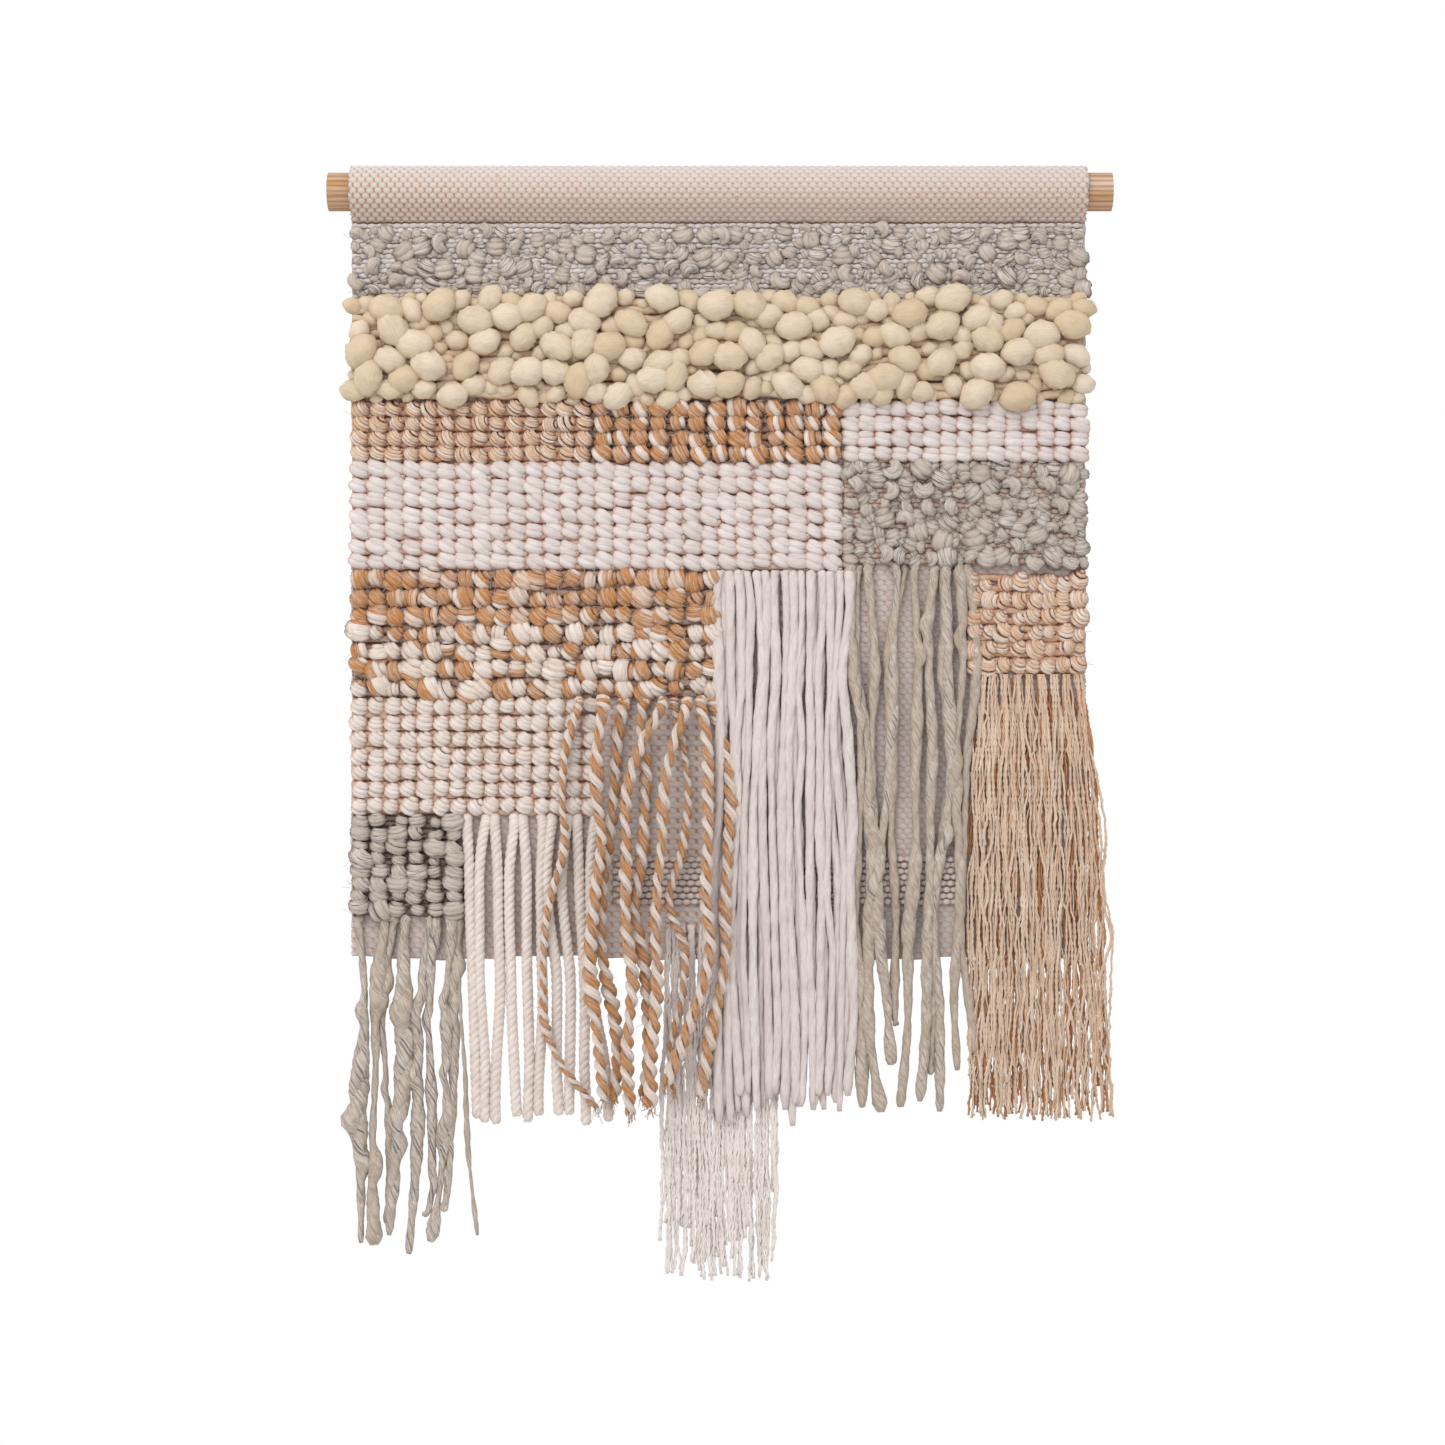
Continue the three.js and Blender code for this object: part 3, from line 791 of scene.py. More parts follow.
def make_ground_cloth():
    """The ground cloth: beads of weave on both faces, closer together where it shows."""
    low, high = node_box("ground_cloth")
    width, height, relief = weave_sizes()
    width = width * 1.12
    shown_top = node_box("grey_bubble_block")[0][2] + 6
    x = np.linspace(low[0], high[0], int((high[0] - low[0]) / (width / 3)) + 1)
    fine_z = shown_top - np.arange(0, (shown_top - low[2]) / (height / 4)) * (height / 4)
    coarse_z = np.linspace(high[2], shown_top, 48)[:-1]
    z = np.concatenate([coarse_z, fine_z[:-1], [low[2]]])
    columns, rows = len(x), len(z)
    grid_x, grid_z = np.meshgrid(x, z)
    bead = bead_height(grid_x, -grid_z, width, height)
    calm = np.clip((grid_z - low[2]) / 60, 0.45, 1)
    rng = np.random.default_rng(12)
    sway = 0.5 * np.sin(grid_x / 47) * np.sin(grid_z / 61 + 1)
    hem = np.clip(1 - (grid_z - low[2]) / 4, 0, 1) * (1.2 * np.sin(grid_x / 23) + 0.5 * np.sin(grid_x / 5.5))
    front = np.stack([grid_x, CLOTH_FACE + sway - relief * calm * (bead - 0.5), grid_z + hem], axis=-1)
    side = np.clip(1 - np.minimum(grid_x - low[0], high[0] - grid_x) / 2.5, 0, 1)
    front[..., 0] += side * rng.uniform(-0.8, 0.4, rows)[:, None] * np.sign(grid_x)

    skip_x = np.unique(np.concatenate([np.arange(0, columns, 2), [columns - 1]]))
    covered = len(coarse_z)
    skip_z = np.unique(np.concatenate([np.arange(covered), np.arange(covered, rows, 4), [rows - 1]]))
    back = front[np.ix_(skip_z, skip_x)].copy()
    ridge = (-1.0) ** np.arange(len(skip_z))[:, None]
    knot = 0.65 * ridge + 0.35 * rng.uniform(-1, 1, (len(skip_z), len(skip_x)))
    back[..., 1] = -CLOTH_FACE + sway[np.ix_(skip_z, skip_x)] + 0.35 * knot
    back_rows, back_columns = len(skip_z), len(skip_x)
    offset = rows * columns
    front_faces = grid_faces(columns, rows)
    back_faces = grid_faces(back_columns, back_rows)[:, ::-1] + offset
    walls = []
    for row_front, row_back in ((0, 0), (rows - 1, back_rows - 1)):
        for a in range(back_columns - 1):
            run = [row_front * columns + c for c in range(skip_x[a], skip_x[a + 1] + 1)]
            back_a = offset + row_back * back_columns + a
            ring = run + [back_a + 1, back_a]
            walls.append(ring if row_front else ring[::-1])
    for column_front, column_back in ((0, 0), (columns - 1, back_columns - 1)):
        for a in range(back_rows - 1):
            run = [r * columns + column_front for r in range(skip_z[a], skip_z[a + 1] + 1)]
            back_a = offset + a * back_columns + column_back
            ring = run + [back_a + back_columns, back_a]
            walls.append(ring[::-1] if column_front else ring)
    points = np.concatenate([front.reshape(-1, 3), back.reshape(-1, 3)])
    # Painted shade between the beads on the front, and in the hollows between the ridges on the back.
    painted_shade = np.concatenate([(1 - bead).ravel() * 0.9, (0.36 - 0.2 * knot).ravel()])
    tone = np.concatenate([np.full(rows * columns, 0.8), np.full(back.shape[0] * back.shape[1], 0.6)])
    faces = np.concatenate([front_faces, back_faces])
    cloth = cloth_piece("woven_ground_cloth", points, faces, walls, painted_shade, tone)
    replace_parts(cloth, "ground_cloth")
    bend_at_seam(cloth)
    return cloth


def make_seam():
    """Running stitches behind the seam, and the sewing thread's end below its left end."""
    low, high = node_box("sleeve_seam_thread")
    middle = (low + high) / 2
    rng = np.random.default_rng(13)
    work = YarnWork()
    pitch = 7.0
    count = int((high[0] - low[0]) / pitch)
    for i in range(count):
        start = low[0] + pitch * i + rng.uniform(-0.4, 0.4)
        share = np.linspace(0, 1, 9)
        bow = np.sin(math.pi * share)
        line = np.stack(
            [start + 5.2 * share, middle[1] - 1.6 + 1.9 * bow, middle[2] + 0.5 * share], axis=-1
        )
        work.tubes(line[None], 0.45, 6, tone=rng.random())
    # The sewing thread's end shows below the left end of the seam.
    tail = smooth_route(
        [
            [low[0] + 3, middle[1] - 2, -18],
            [low[0] + 1, -3, -21],
            [low[0] + 2, -5, -24],
            [low[0] + 4.5, -5.4, -25.5],
        ],
        16,
    )
    work.tubes(tail[None], 0.5, 6, tone=0.2)
    c = tint(216, 178, 118)
    # The thread's fourth colour is the painted shade on the sides and backs of the stitches.
    thread = kept_material("waxed_thread", yarn_material, darker(c, 0.7), c, lighter(c, 0.3), darker(c, 0.5))
    seam = work.piece("sleeve_stitches", [thread])
    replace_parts(seam, "sleeve_seam_thread")
    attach(seam, "sleeve")
    return seam


def make_ribs():
    """Raised picks across the foot of the cloth, each beaded where it crosses the warp."""
    low, high = node_box("rib_band")
    width = weave_sizes()[0]
    rng = np.random.default_rng(14)
    work = YarnWork()
    ribs = 8
    pitch = (high[2] - low[2]) / ribs
    x = np.arange(low[0], high[0], width / 6)
    for i in range(ribs):
        bulge = np.abs(np.sin(math.pi * (x / width + 0.5 * (i % 2))))
        radius = pitch * (0.36 + 0.2 * bulge)
        depth = CLOTH_FACE - 0.6 - 1.1 * bulge
        z = high[2] - pitch * (i + 0.5) + 0.25 * np.sin(x / 13 + i)
        line = np.stack([x, depth, z], axis=-1)
        work.tubes(line[None], radius[None], 8, tone=rng.random(), reach=4.6)
    ribs_piece = work.piece("raised_ribs", [wool("ground")])
    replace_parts(ribs_piece, "rib_band")
    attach(ribs_piece, "panel")
    return ribs_piece


# ------------------------------------------------------------------ pile


def finish_pile(work, node, materials):
    """A pile piece that stands for a node and moves with the panel; the grey loop band is not attached and
    only has its transform baked.
    """
    piece = work.piece(node + "_yarn", materials)
    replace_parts(piece, node)
    if node == "grey_loop_band":
        bend_at_seam(piece)
    else:
        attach(piece, "panel")
    return piece


def add_fuzz(work, low, high, reach, count, rng):
    """Fine stray fibres that stand off the pile."""
    x = rng.uniform(low[0], high[0], count)
    z = rng.uniform(low[2], high[2], count)
    y = CLOTH_FACE - reach * rng.uniform(0.45, 0.98, count)
    start = np.stack([x, y, z], axis=-1)
    share = np.linspace(0, 1, 6)[None, :, None]
    heading = unit(rng.normal(0, 1, (count, 3)) * (1, 0.45, 1))[:, None]
    curl = unit(rng.normal(0, 1, (count, 3)))[:, None]
    length = rng.uniform(3, 8, count)[:, None, None]
    lines = start[:, None] + length * (heading * share + 0.35 * curl * np.sin(2.6 * share))
    lines[..., 1] = np.minimum(lines[..., 1], CLOTH_FACE - 0.3 * reach)
    work.tubes(lines, 0.11, 4, tone=rng.random(count))


def wound_knobs(work, x, z, half, lean, strands, thick, rng, twist=0.3, ply=0.0, tone=None, sides=6,
                rings=9, reach=9.0, tilt=0.0, lump=0.1, uneven=0.08):
    """Balls of yarn: strands side by side over the front of a knob, from the cloth and back to it.

    half holds the knob's half length along the strands, half width across them, and rise. lean is
    the strands' direction in the plane of the cloth, and thick scales the strands.
    """
    n = len(x)
    along_half, side_half, rise = [np.broadcast_to(h, (n,))[:, None, None] for h in half]
    place = (np.arange(strands) + 0.5) / strands * 2 - 1
    place = place[None, :, None] + rng.normal(0, uneven, (n, strands, 1))
    turn = math.pi / 2 * np.linspace(-1.25, 1.25, rings)[None, None, :]
    round_off = np.sqrt(np.clip(1 - (0.8 * place) ** 2, 0.1, 1))
    along = along_half * round_off * np.sin(turn)
    side = side_half * 0.82 * place * (0.8 + 0.2 * np.cos(turn))
    strand_radius = side_half / strands * thick
    out = (rise - strand_radius) * round_off * np.cos(turn) - tilt * np.sin(turn)
    out = np.maximum(out, strand_radius - CLOTH_INSIDE)
    spin = np.broadcast_to(lean, (n,))[:, None, None] + twist * turn
    lines = np.stack(
        [
            x[:, None, None] + along * np.cos(spin) - side * np.sin(spin),
            CLOTH_FACE - out,
            z[:, None, None] + along * np.sin(spin) + side * np.cos(spin),
        ],
        axis=-1,
    ).reshape(n * strands, rings, 3)
    radii = (strand_radius * rng.normal(1, uneven, (n, strands, 1))).reshape(-1, 1)
    if tone is None:
        tone = rng.random(n * strands)
    height = np.repeat(np.broadcast_to(reach, (n,)), strands)
    work.tubes(lines, radii, sides, tone=tone, ply=ply, reach=height, lump=lump)


def filling(work, low, high, pitch, rise, rng, level=0.1, girth=0.6, shade_reach=0.85, ply=0.3):
    """Packed yarn between the knobs, which closes the gaps part of the way up."""
    x = np.arange(low[0] + 1, high[0] - 0.9, 3.0)
    for z in np.arange(high[2] - pitch / 2, low[2], -pitch):
        y = CLOTH_FACE - rise * (level + 0.04 * wander(rng, x - x[0], 7))
        y = np.minimum(y, CLOTH_FACE + 1.4 - 1.1 * pitch * girth)
        line = np.stack([x, y, z + 0.15 * pitch * wander(rng, x - x[0], 9)], axis=-1)
        # The filling gets painted shade, darker the nearer it lies to the cloth.
        work.tubes(line[None], pitch * girth, 6, tone=rng.random(), ply=ply, reach=rise * shade_reach,
                   lump=0.1)


def knob_block(node, key, seed, rows, columns, rise, lean, strands, thick, twist=0.3, ply_of=None,
               fill=(1.06, 1.04), jitter=0.05, size_spread=0.07, lean_spread=0.15, sides=6, tilt=0.0,
               fuzz=0, rings=9, lump=0.1, shade_reach=0.85):
    """A block of wound knobs in rows. fill is a knob's length and width over the pitch.

    ply_of gives the share of the second colour in each strand, from the number of knobs and of
    strands, the row of each knob and the random source.
    """
    low, high = node_box(node)
    rng = np.random.default_rng(seed)
    work = YarnWork()
    x, z, row, pitch_x, pitch_z = rows_and_columns(low, high, rows, columns, rng, jitter)
    n = len(x)
    size = rng.normal(1, size_spread, n).clip(0.65, 1.45)
    half = (pitch_x * fill[0] / 2 * size, pitch_z * fill[1] / 2 * size, rise * size**0.5)
    ply = 0.0 if ply_of is None else ply_of(n, strands, row, rng)
    wound_knobs(work, x, z, half, lean + rng.normal(0, lean_spread, n), strands, thick, rng, twist=twist,
                ply=ply, sides=sides, rings=rings, reach=half[2] * shade_reach, tilt=tilt, lump=lump)
    filling(work, low, high, pitch_z / 2, rise, rng, girth=0.5)
    if fuzz:
        add_fuzz(work, low, high, rise, fuzz, rng)
    return finish_pile(work, node, [wool(key)])


def streaked(n, strands, row, rng):
    """Lets some strands of a yarn be paler than the others."""
    return rng.random(n * strands) ** 1.6


def make_beige_block():
    """Knots of thin stranded yarn, slanting one way."""
    return knob_block("beige_loop_block", "beige", 21, rows=4, columns=14, rise=9.5, lean=-0.75,
                      strands=5, thick=1.05, twist=0.35, ply_of=streaked, fill=(1.08, 1.14), fuzz=220,
                      jitter=0.06, lean_spread=0.3)


def make_small_loops():
    """Small knots of beige yarn at the right edge."""
    return knob_block("small_loop_block", "beige", 26, rows=6, columns=8, rise=8.5, lean=-0.8,
                      strands=5, thick=1.05, twist=0.5, ply_of=streaked, fill=(1.1, 1.22), fuzz=150,
                      jitter=0.09, size_spread=0.12, lean_spread=0.4)


def rust_and_pale(n, strands, row, rng):
    """One pale strand in each loop and the rest rust, with now and then a loop of one colour."""
    pale = np.zeros((n, strands), dtype=bool)
    pale[np.arange(n), rng.integers(0, strands, n)] = True
    plain = rng.random(n) < 0.15
    pale[plain] = False
    return (1.0 - pale).ravel() * rng.uniform(0.8, 1.0, n * strands)


def make_rust_block():
    """Two-tone loops, mostly rust, their strands nearly upright."""
    return knob_block("rust_loop_block", "twist", 22, rows=4, columns=13, rise=12, lean=-1.1,
                      strands=3, thick=1.2, twist=0.2, ply_of=rust_and_pale, fill=(0.86, 1.22), sides=8,
                      fuzz=300, lump=0.14, jitter=0.06, lean_spread=0.25)


def rust_edges(n, strands, row, rng):
    """Mostly pale knobs with rust strands along one side, more of them in the upper rows."""
    base = np.where(row >= 3, rng.uniform(-0.2, 0.1, n), rng.uniform(0.0, 0.5, n))
    ply = np.repeat(base[:, None], strands, axis=1) + rng.uniform(-0.08, 0.08, (n, strands))
    rusty = rng.integers(0, 3, n) + (row < 3) + (rng.random(n) < 0.7)
    from_left = rng.random(n) < 0.5
    place = np.arange(strands)[None, :]
    place = np.where(from_left[:, None], place, strands - 1 - place)
    return np.where(place < rusty[:, None], rng.uniform(0.8, 1, (n, strands)), ply).ravel()


def make_rust_band():
    """Uneven balls of two-tone yarn with fine strands wrapped round them."""
    return knob_block("rust_loop_band", "twist", 25, rows=7, columns=21, rise=12, lean=-0.9,
                      strands=4, thick=1.25, twist=0.2, ply_of=rust_edges, fill=(1.08, 1.14), sides=8,
                      fuzz=800, lump=0.16, jitter=0.09, size_spread=0.13, lean_spread=0.4)


def make_white_block():
    """Soft white loops in straight columns."""
    return knob_block("white_loop_block", "white", 23, rows=4, columns=15, rise=10, lean=-0.25,
                      strands=2, thick=1.35, twist=0.15, fill=(0.88, 0.96), sides=10, lump=0.12, jitter=0.04,
                      size_spread=0.06)


def make_soumak_band():
    """Wrapped rows of soft white roving, each wrap a slanting oval that laps over the next."""
    return knob_block("white_soumak_band", "white", 24, rows=7, columns=28, rise=8.8, lean=-0.4,
                      strands=2, thick=1.35, twist=0.15, fill=(0.92, 0.93), sides=10, tilt=1.0, lump=0.12,
                      jitter=0.05, size_spread=0.07)


def make_ivory_block():
    """Round loops of plied ivory wool in straight columns."""
    return knob_block("ivory_loop_block", "ivory", 27, rows=7, columns=15, rise=10.5, lean=-0.5,
                      strands=4, thick=1.25, twist=0.3, fill=(0.9, 1.1), sides=8, fuzz=120, jitter=0.045,
                      size_spread=0.06)


def bubbles(work, x, z, radii, rng, lean_spread=0.6, stretch=1.06, stand=0.95, sides=16, rings=13, lump=0.16,
            bend=0.2):
    """Smooth knobs of thick roving: round swellings with their fibres from end to end."""
    n = len(x)
    turn = np.linspace(-1, 1, rings)[None, :] * math.pi / 2 * 0.985
    lean = rng.normal(0, lean_spread, n)[:, None]
    along = np.sin(turn) * radii[:, None] * stretch
    sag = rng.normal(0, bend, n)[:, None] * radii[:, None] * np.cos(turn)
    base = np.maximum(radii, 5.0)[:, None]
    rise = CLOTH_FACE - base * stand - 0.25 * radii[:, None] * np.cos(turn)
    lines = np.stack(
        [
            x[:, None] + along * np.cos(lean) - sag * np.sin(lean),
            rise,
            z[:, None] + along * np.sin(lean) + sag * np.cos(lean),
        ],
        axis=-1,
    )
    thick = radii[:, None] * np.cos(turn) ** 0.72
    height = base[:, 0] * (stand + 0.9)
    work.tubes(lines, thick, sides, tone=rng.random(n), reach=height, lump=lump, groove_shade=0.1)


def curls(work, x, z, radii, rng, sides=6, rings=11, plies=3, stand=1.6):
    """Short curled lengths of slubby wool, thick in the middle and thin at both ends."""
    n = len(x)
    sweep = rng.uniform(1.2, 2.3, n)[:, None]
    share = np.linspace(-1, 1, rings)[None, :]
    spin = rng.uniform(0, 2 * math.pi, n)[:, None]
    ring = radii[:, None] * 0.55
    lines = np.stack(
        [
            x[:, None] + ring * np.cos(spin + sweep * share),
            CLOTH_FACE - radii[:, None] * (0.4 + 0.45 * stand * np.cos(share * 1.45)),
            z[:, None] + ring * np.sin(spin + sweep * share),
        ],
        axis=-1,
    )
    body = radii[:, None] * 0.58 * (0.35 + 0.65 * np.cos(share * 1.5))
    wound = plied(lines, plies, body * 0.42, 0.7, rng.uniform(0, 6, n))
    thick = np.repeat(body * 0.7, plies, axis=0)
    tone = np.repeat(rng.random(n), plies)
    height = np.repeat(radii * stand * 0.8, plies)
    work.tubes(wound, thick, sides, tone=tone, reach=height, lump=0.12)


def weft_rows(work, low, high, pitch, radius, rng, slot, reach=4.2):
    """Plain rows of weft that show between bubbles, beaded where they cross the warp."""
    x = np.arange(low[0] + 1, high[0] - 1, 1.6)
    for i, z in enumerate(np.arange(high[2] - pitch / 2, low[2], -pitch)):
        bulge = np.abs(np.sin(math.pi * (x / 5.5 + 0.5 * (i % 2))))
        line = np.stack([x, CLOTH_FACE - 1.2 - 1.2 * bulge, z + 0.3 * np.sin(x / 11 + i)], axis=-1)
        thick = radius * (0.85 + 0.35 * bulge)
        work.tubes(line[None], thick[None], 8, tone=rng.random(), reach=reach, slot=slot, groove_shade=0.15)


def make_grey_band():
    """Small uneven grey bubbles and curls across the top, with pale weft between them."""
    low, high = node_box("grey_loop_band")
    rng = np.random.default_rng(31)
    work = YarnWork()
    sizes = [(4.8, 6.2, 260), (3.6, 4.6, 1200), (2.4, 3.3, 1500)]
    x, z, radii = packed(low - (0, 0, 1), high + (0, 0, 0.5), sizes, rng, touch=0.84)
    grey_knobs(work, x, z, radii, 0.4, rng, stand=1.5)
    weft_rows(work, low, high + (0, 0, 3.0), 3.3, 1.6, rng, slot=1)
    add_fuzz(work, low, high, 9, 420, rng)
    return finish_pile(work, "grey_loop_band", [wool("grey"), wool("ground")])


def grey_knobs(work, x, z, radii, curl_share, rng, stand=1.7):
    """Grey bubbles, some of them curls of slubby wool and the rest wound knobs."""
    curled = (rng.random(len(x)) < curl_share) & (radii > 3.4)
    curls(work, x[curled], z[curled], radii[curled] * 1.15, rng, stand=stand)
    plain = ~curled
    r = radii[plain]
    rise = np.maximum(r * stand, 6.0)
    wound_knobs(work, x[plain], z[plain], (r * 0.98, r * 1.06, rise), rng.normal(-0.4, 0.6, len(r)), 3,
                1.5, rng, twist=0.28, reach=rise, lump=0.16, sides=6,
                tone=np.repeat(rng.random(len(r)), 3))


def make_cream_band():
    """Large smooth bubbles of cream wool with small ones between."""
    low, high = node_box("cream_bubble_band")
    rng = np.random.default_rng(32)
    work = YarnWork()
    sizes = [(8.4, 10.2, 260), (6.4, 8.0, 1200), (4.8, 6.0, 2200), (3.4, 4.4, 2600)]
    x, z, radii = packed(low - (2, 0, 1), high + (2, 0, 2), sizes, rng, touch=0.79)
    bubbles(work, x, z, radii, rng)
    filling(work, low, high, 5.5, 13, rng, level=0.36, girth=0.6)
    return finish_pile(work, "cream_bubble_band", [wool("cream")])


def grey_bubbles(node, seed, sizes, curl_share, fuzz):
    """A block of grey bubbles and curls."""
    low, high = node_box(node)
    rng = np.random.default_rng(seed)
    work = YarnWork()
    x, z, radii = packed(low - (0, 0, 1), high + (0, 0, 1), sizes, rng, touch=0.8)
    grey_knobs(work, x, z, radii, curl_share, rng)
    weft_rows(work, low, high, 3.3, 1.7, rng, slot=1, reach=7.5)
    add_fuzz(work, low, high, 11, fuzz, rng)
    return finish_pile(work, node, [wool("grey"), wool("ground")])


def make_grey_block():
    """Grey bubbles and curls on the right."""
    sizes = [(5.2, 6.8, 140), (4.0, 5.0, 700), (2.8, 3.8, 2200), (1.9, 2.6, 2500)]
    return grey_bubbles("grey_bubble_block", 33, sizes, 0.4, 350)


def make_grey_foot():
    """Grey roving at the lower left, wound into stacks of fat and thin rolls."""
    return knob_block("grey_foot_block", "grey", 34, rows=8, columns=6, rise=12, lean=-0.3,
                      strands=4, thick=1.35, twist=0.2, fill=(0.95, 1.2), sides=8, fuzz=150, lump=0.16,
                      jitter=0.09, size_spread=0.24, lean_spread=0.35)


# ------------------------------------------------------------------ fringes


def finish_strand(work, name, nodes, materials):
    """A fringe piece that stands for its nodes, with its transform baked into its mesh."""
    piece = work.piece(name, materials)
    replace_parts(piece, *nodes)
    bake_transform(piece)
    return piece


def raised_top(route, lift):
    """The route with its top end carried up under the pile above it."""
    start = route[0] + (0, 1.5, lift)
    return np.concatenate([[start], route])


def end_taper(rings, share=0.55):
    """Radius along a strand that narrows at its cut end."""
    taper = np.ones(rings)
    taper[0] = 0.7
    taper[-1] = share * 0.6
    taper[-2] = share
    return taper


def stray_fibres(work, line, rng, count, radius, length=6.0):
    """Fine hairs that stand off a hanging strand."""
    at = rng.integers(1, len(line) - 1, count)
    angle = rng.uniform(0, 2 * math.pi, count)
    off = np.stack([np.cos(angle), np.sin(angle), np.zeros(count)], axis=-1)
    heading = unit(0.8 * off + rng.normal(0, 0.8, (count, 3)))[:, None]
    share = np.linspace(0, 1, 5)[None, :, None]
    curl = unit(rng.normal(0, 1, (count, 3)))[:, None]
    reach = length * rng.uniform(0.4, 1, count)[:, None, None]
    start = (line[at] + 0.85 * radius * off)[:, None]
    hairs = start + reach * (heading * share + 0.3 * curl * np.sin(2.4 * share))
    work.tubes(hairs, 0.1, 4, tone=rng.random(count), ply=rng.random(count).round())


def make_rust_fringe():
    """Ropes of one rust and one pale ply."""
    turn = bpy.context.scene.tapestry_sizes.rust_turn / MM
    pieces = []
    for i in range(1, 10):
        node = f"rust_rope_{i}"
        rng = np.random.default_rng(50 + i)
        route = raised_top(strand_route(node), 6)
        length = np.linalg.norm(np.diff(route, axis=0), axis=1).sum()
        rings = int(length / (turn / 10))
        line = smooth_route(route, rings)
        s = np.linspace(0, length, rings)
        line[:, 0] += 1.1 * wander(rng, s, 40) * np.clip(s / 40, 0, 1)
        girth = rng.choice((0.74, 0.9, 1.06))
        turns = -length / turn / girth * rng.uniform(0.92, 1.05)
        swell = girth * np.exp(0.14 * wander(rng, s, 22))
        plies = plied(line[None], 2, 1.95 * swell, turns, rng.uniform(0, 6))
        work = YarnWork()
        core = plied(plies, 3, 0.95 * swell, turns * 0.5, 0.0)
        ply = np.repeat([rng.uniform(0.85, 1), rng.uniform(0, 0.12)], 3)
        tone = rng.random(6)
        work.tubes(core, 1.35 * swell * end_taper(rings), 6, tone=tone, ply=ply, lump=0.12)
        stray_fibres(work, line, rng, 60, 3.2 * girth)
        tip = line[-1]
        fray = 14
        share = np.linspace(0, 1, 5)[None, :, None]
        heading = unit(rng.normal(0, 0.35, (fray, 3)) + (0, 0, -1))[:, None]
        hairs = tip + rng.normal(0, 1.4, (fray, 1, 3)) + heading * share * rng.uniform(3, 8, (fray, 1, 1))
        work.tubes(hairs, 0.22, 4, tone=rng.random(fray), ply=rng.random(fray).round())
        pieces.append(finish_strand(work, f"rust_twist_rope_{i}", [node],
                                    [wool("twist")]))
    return pieces


def make_ivory_fringe():
    """Three-ply ropes of ivory wool, cut off straight, leaving the loops in pairs."""
    turn = bpy.context.scene.tapestry_sizes.ivory_turn / MM
    pieces = []
    for i in range(1, 11):
        node = f"ivory_rope_{i}"
        rng = np.random.default_rng(70 + i)
        route = raised_top(strand_route(node), 6)
        route[:2, 0] += 1.6 * (-1) ** i
        route[-1, 0] += rng.normal(0, 2.0)
        route[-1, 2] += rng.uniform(-5, 3)
        length = np.linalg.norm(np.diff(route, axis=0), axis=1).sum()
        rings = int(length / (turn / 10))
        line = smooth_route(route, rings)
        s = np.linspace(0, length, rings)
        line[:, 0] += 2.0 * wander(rng, s, 60) * np.clip(s / 40, 0, 1)
        plies = plied(line[None], 3, 1.45, length / turn, rng.uniform(0, 6))
        work = YarnWork()
        work.tubes(plies, 2.3 * end_taper(rings, 0.85), 8, tone=rng.random(3), lump=0.05)
        pieces.append(finish_strand(work, f"ivory_wool_rope_{i}", [node],
                                    [wool("ivory")]))
    return pieces


def soft_strand(work, route, radius, rng, plies, turn, sway, uneven, sides=8, step=4.0, wave=60.0,
                slub_wave=22.0, relief=0.3, kinks=0, lump=0.08):
    """A loosely spun strand whose thickness and path wander.

    sway is how far it strays sideways, uneven how much its thickness varies, relief how far the
    plies stand apart, and kinks the number of small curls where it has sprung back on itself.
    """
    length = np.linalg.norm(np.diff(route, axis=0), axis=1).sum()
    rings = max(12, int(length / step))
    line = smooth_route(route, rings)
    s = np.linspace(0, length, rings)
    loose = np.clip(s / 40, 0, 1)
    line[:, 0] += sway * wander(rng, s, wave) * loose
    line[:, 1] += 0.4 * sway * wander(rng, s, wave) * loose
    thick = np.exp(uneven * np.clip(wander(rng, s, slub_wave), -1.6, 1.6))
    for _ in range(kinks):
        middle = rng.uniform(0.15, 0.95) * length
        near = np.exp(-(((s - middle) / 5) ** 2))
        line[:, 0] += rng.choice((-1, 1)) * radius * 0.6 * near
        line[:, 1] -= radius * 0.5 * near
        thick = thick * (1 + 0.35 * near)
    wound = plied(line[None], plies, radius * relief * thick, length / turn, rng.uniform(0, 6))
    radii = radius * (1 - relief) * thick * end_taper(rings, 0.75)
    work.tubes(wound, radii[None], sides, tone=rng.random() * 0.5 + 0.5 * rng.random(plies), lump=lump)


def make_white_fringe():
    """Soft white roving, side by side in front of the cloth, in two layers."""
    nodes, pieces = 6, []
    first, last = -0.5, 84.0
    rng = np.random.default_rng(90)
    front = [(first + (last - first) * (k + rng.uniform(-0.15, 0.15)) / 14, -0.8) for k in range(15)]
    behind = [(first + 3 + (last - first - 6) * (k + rng.uniform(-0.2, 0.2)) / 11, 2.6) for k in range(12)]
    for i in range(nodes):
        node = f"white_strand_{i + 1}"
        base = raised_top(strand_route(node), 6)
        work = YarnWork()
        left = first - 9 + (last - first + 18) * i / nodes
        right = first - 9 + (last - first + 18) * (i + 1) / nodes
        for x, depth in front + behind:
            if not left <= x < right:
                continue
            route = base + (x - base[0, 0], depth + rng.uniform(-0.6, 0.6), 0)
            fall = route[0, 2] - route[:, 2]
            route[:, 0] += 1.6 * np.sin(fall / 52 + x / 24) * np.clip(fall / 60, 0, 1)
            route[:, 0] += rng.normal(0, 1.2) * fall / fall[-1]
            route[-1, 2] += rng.uniform(-8, 10)
            soft_strand(work, route, rng.uniform(2.5, 3.5), rng, 3, 55, 1.1, 0.14, wave=42, slub_wave=26,
                        relief=0.22, lump=0.1)
            stray_fibres(work, smooth_route(route, 60), rng, 10, 3.2)
        pieces.append(finish_strand(work, f"white_roving_{i + 1}", [node],
                                    [wool("white")]))
    return pieces


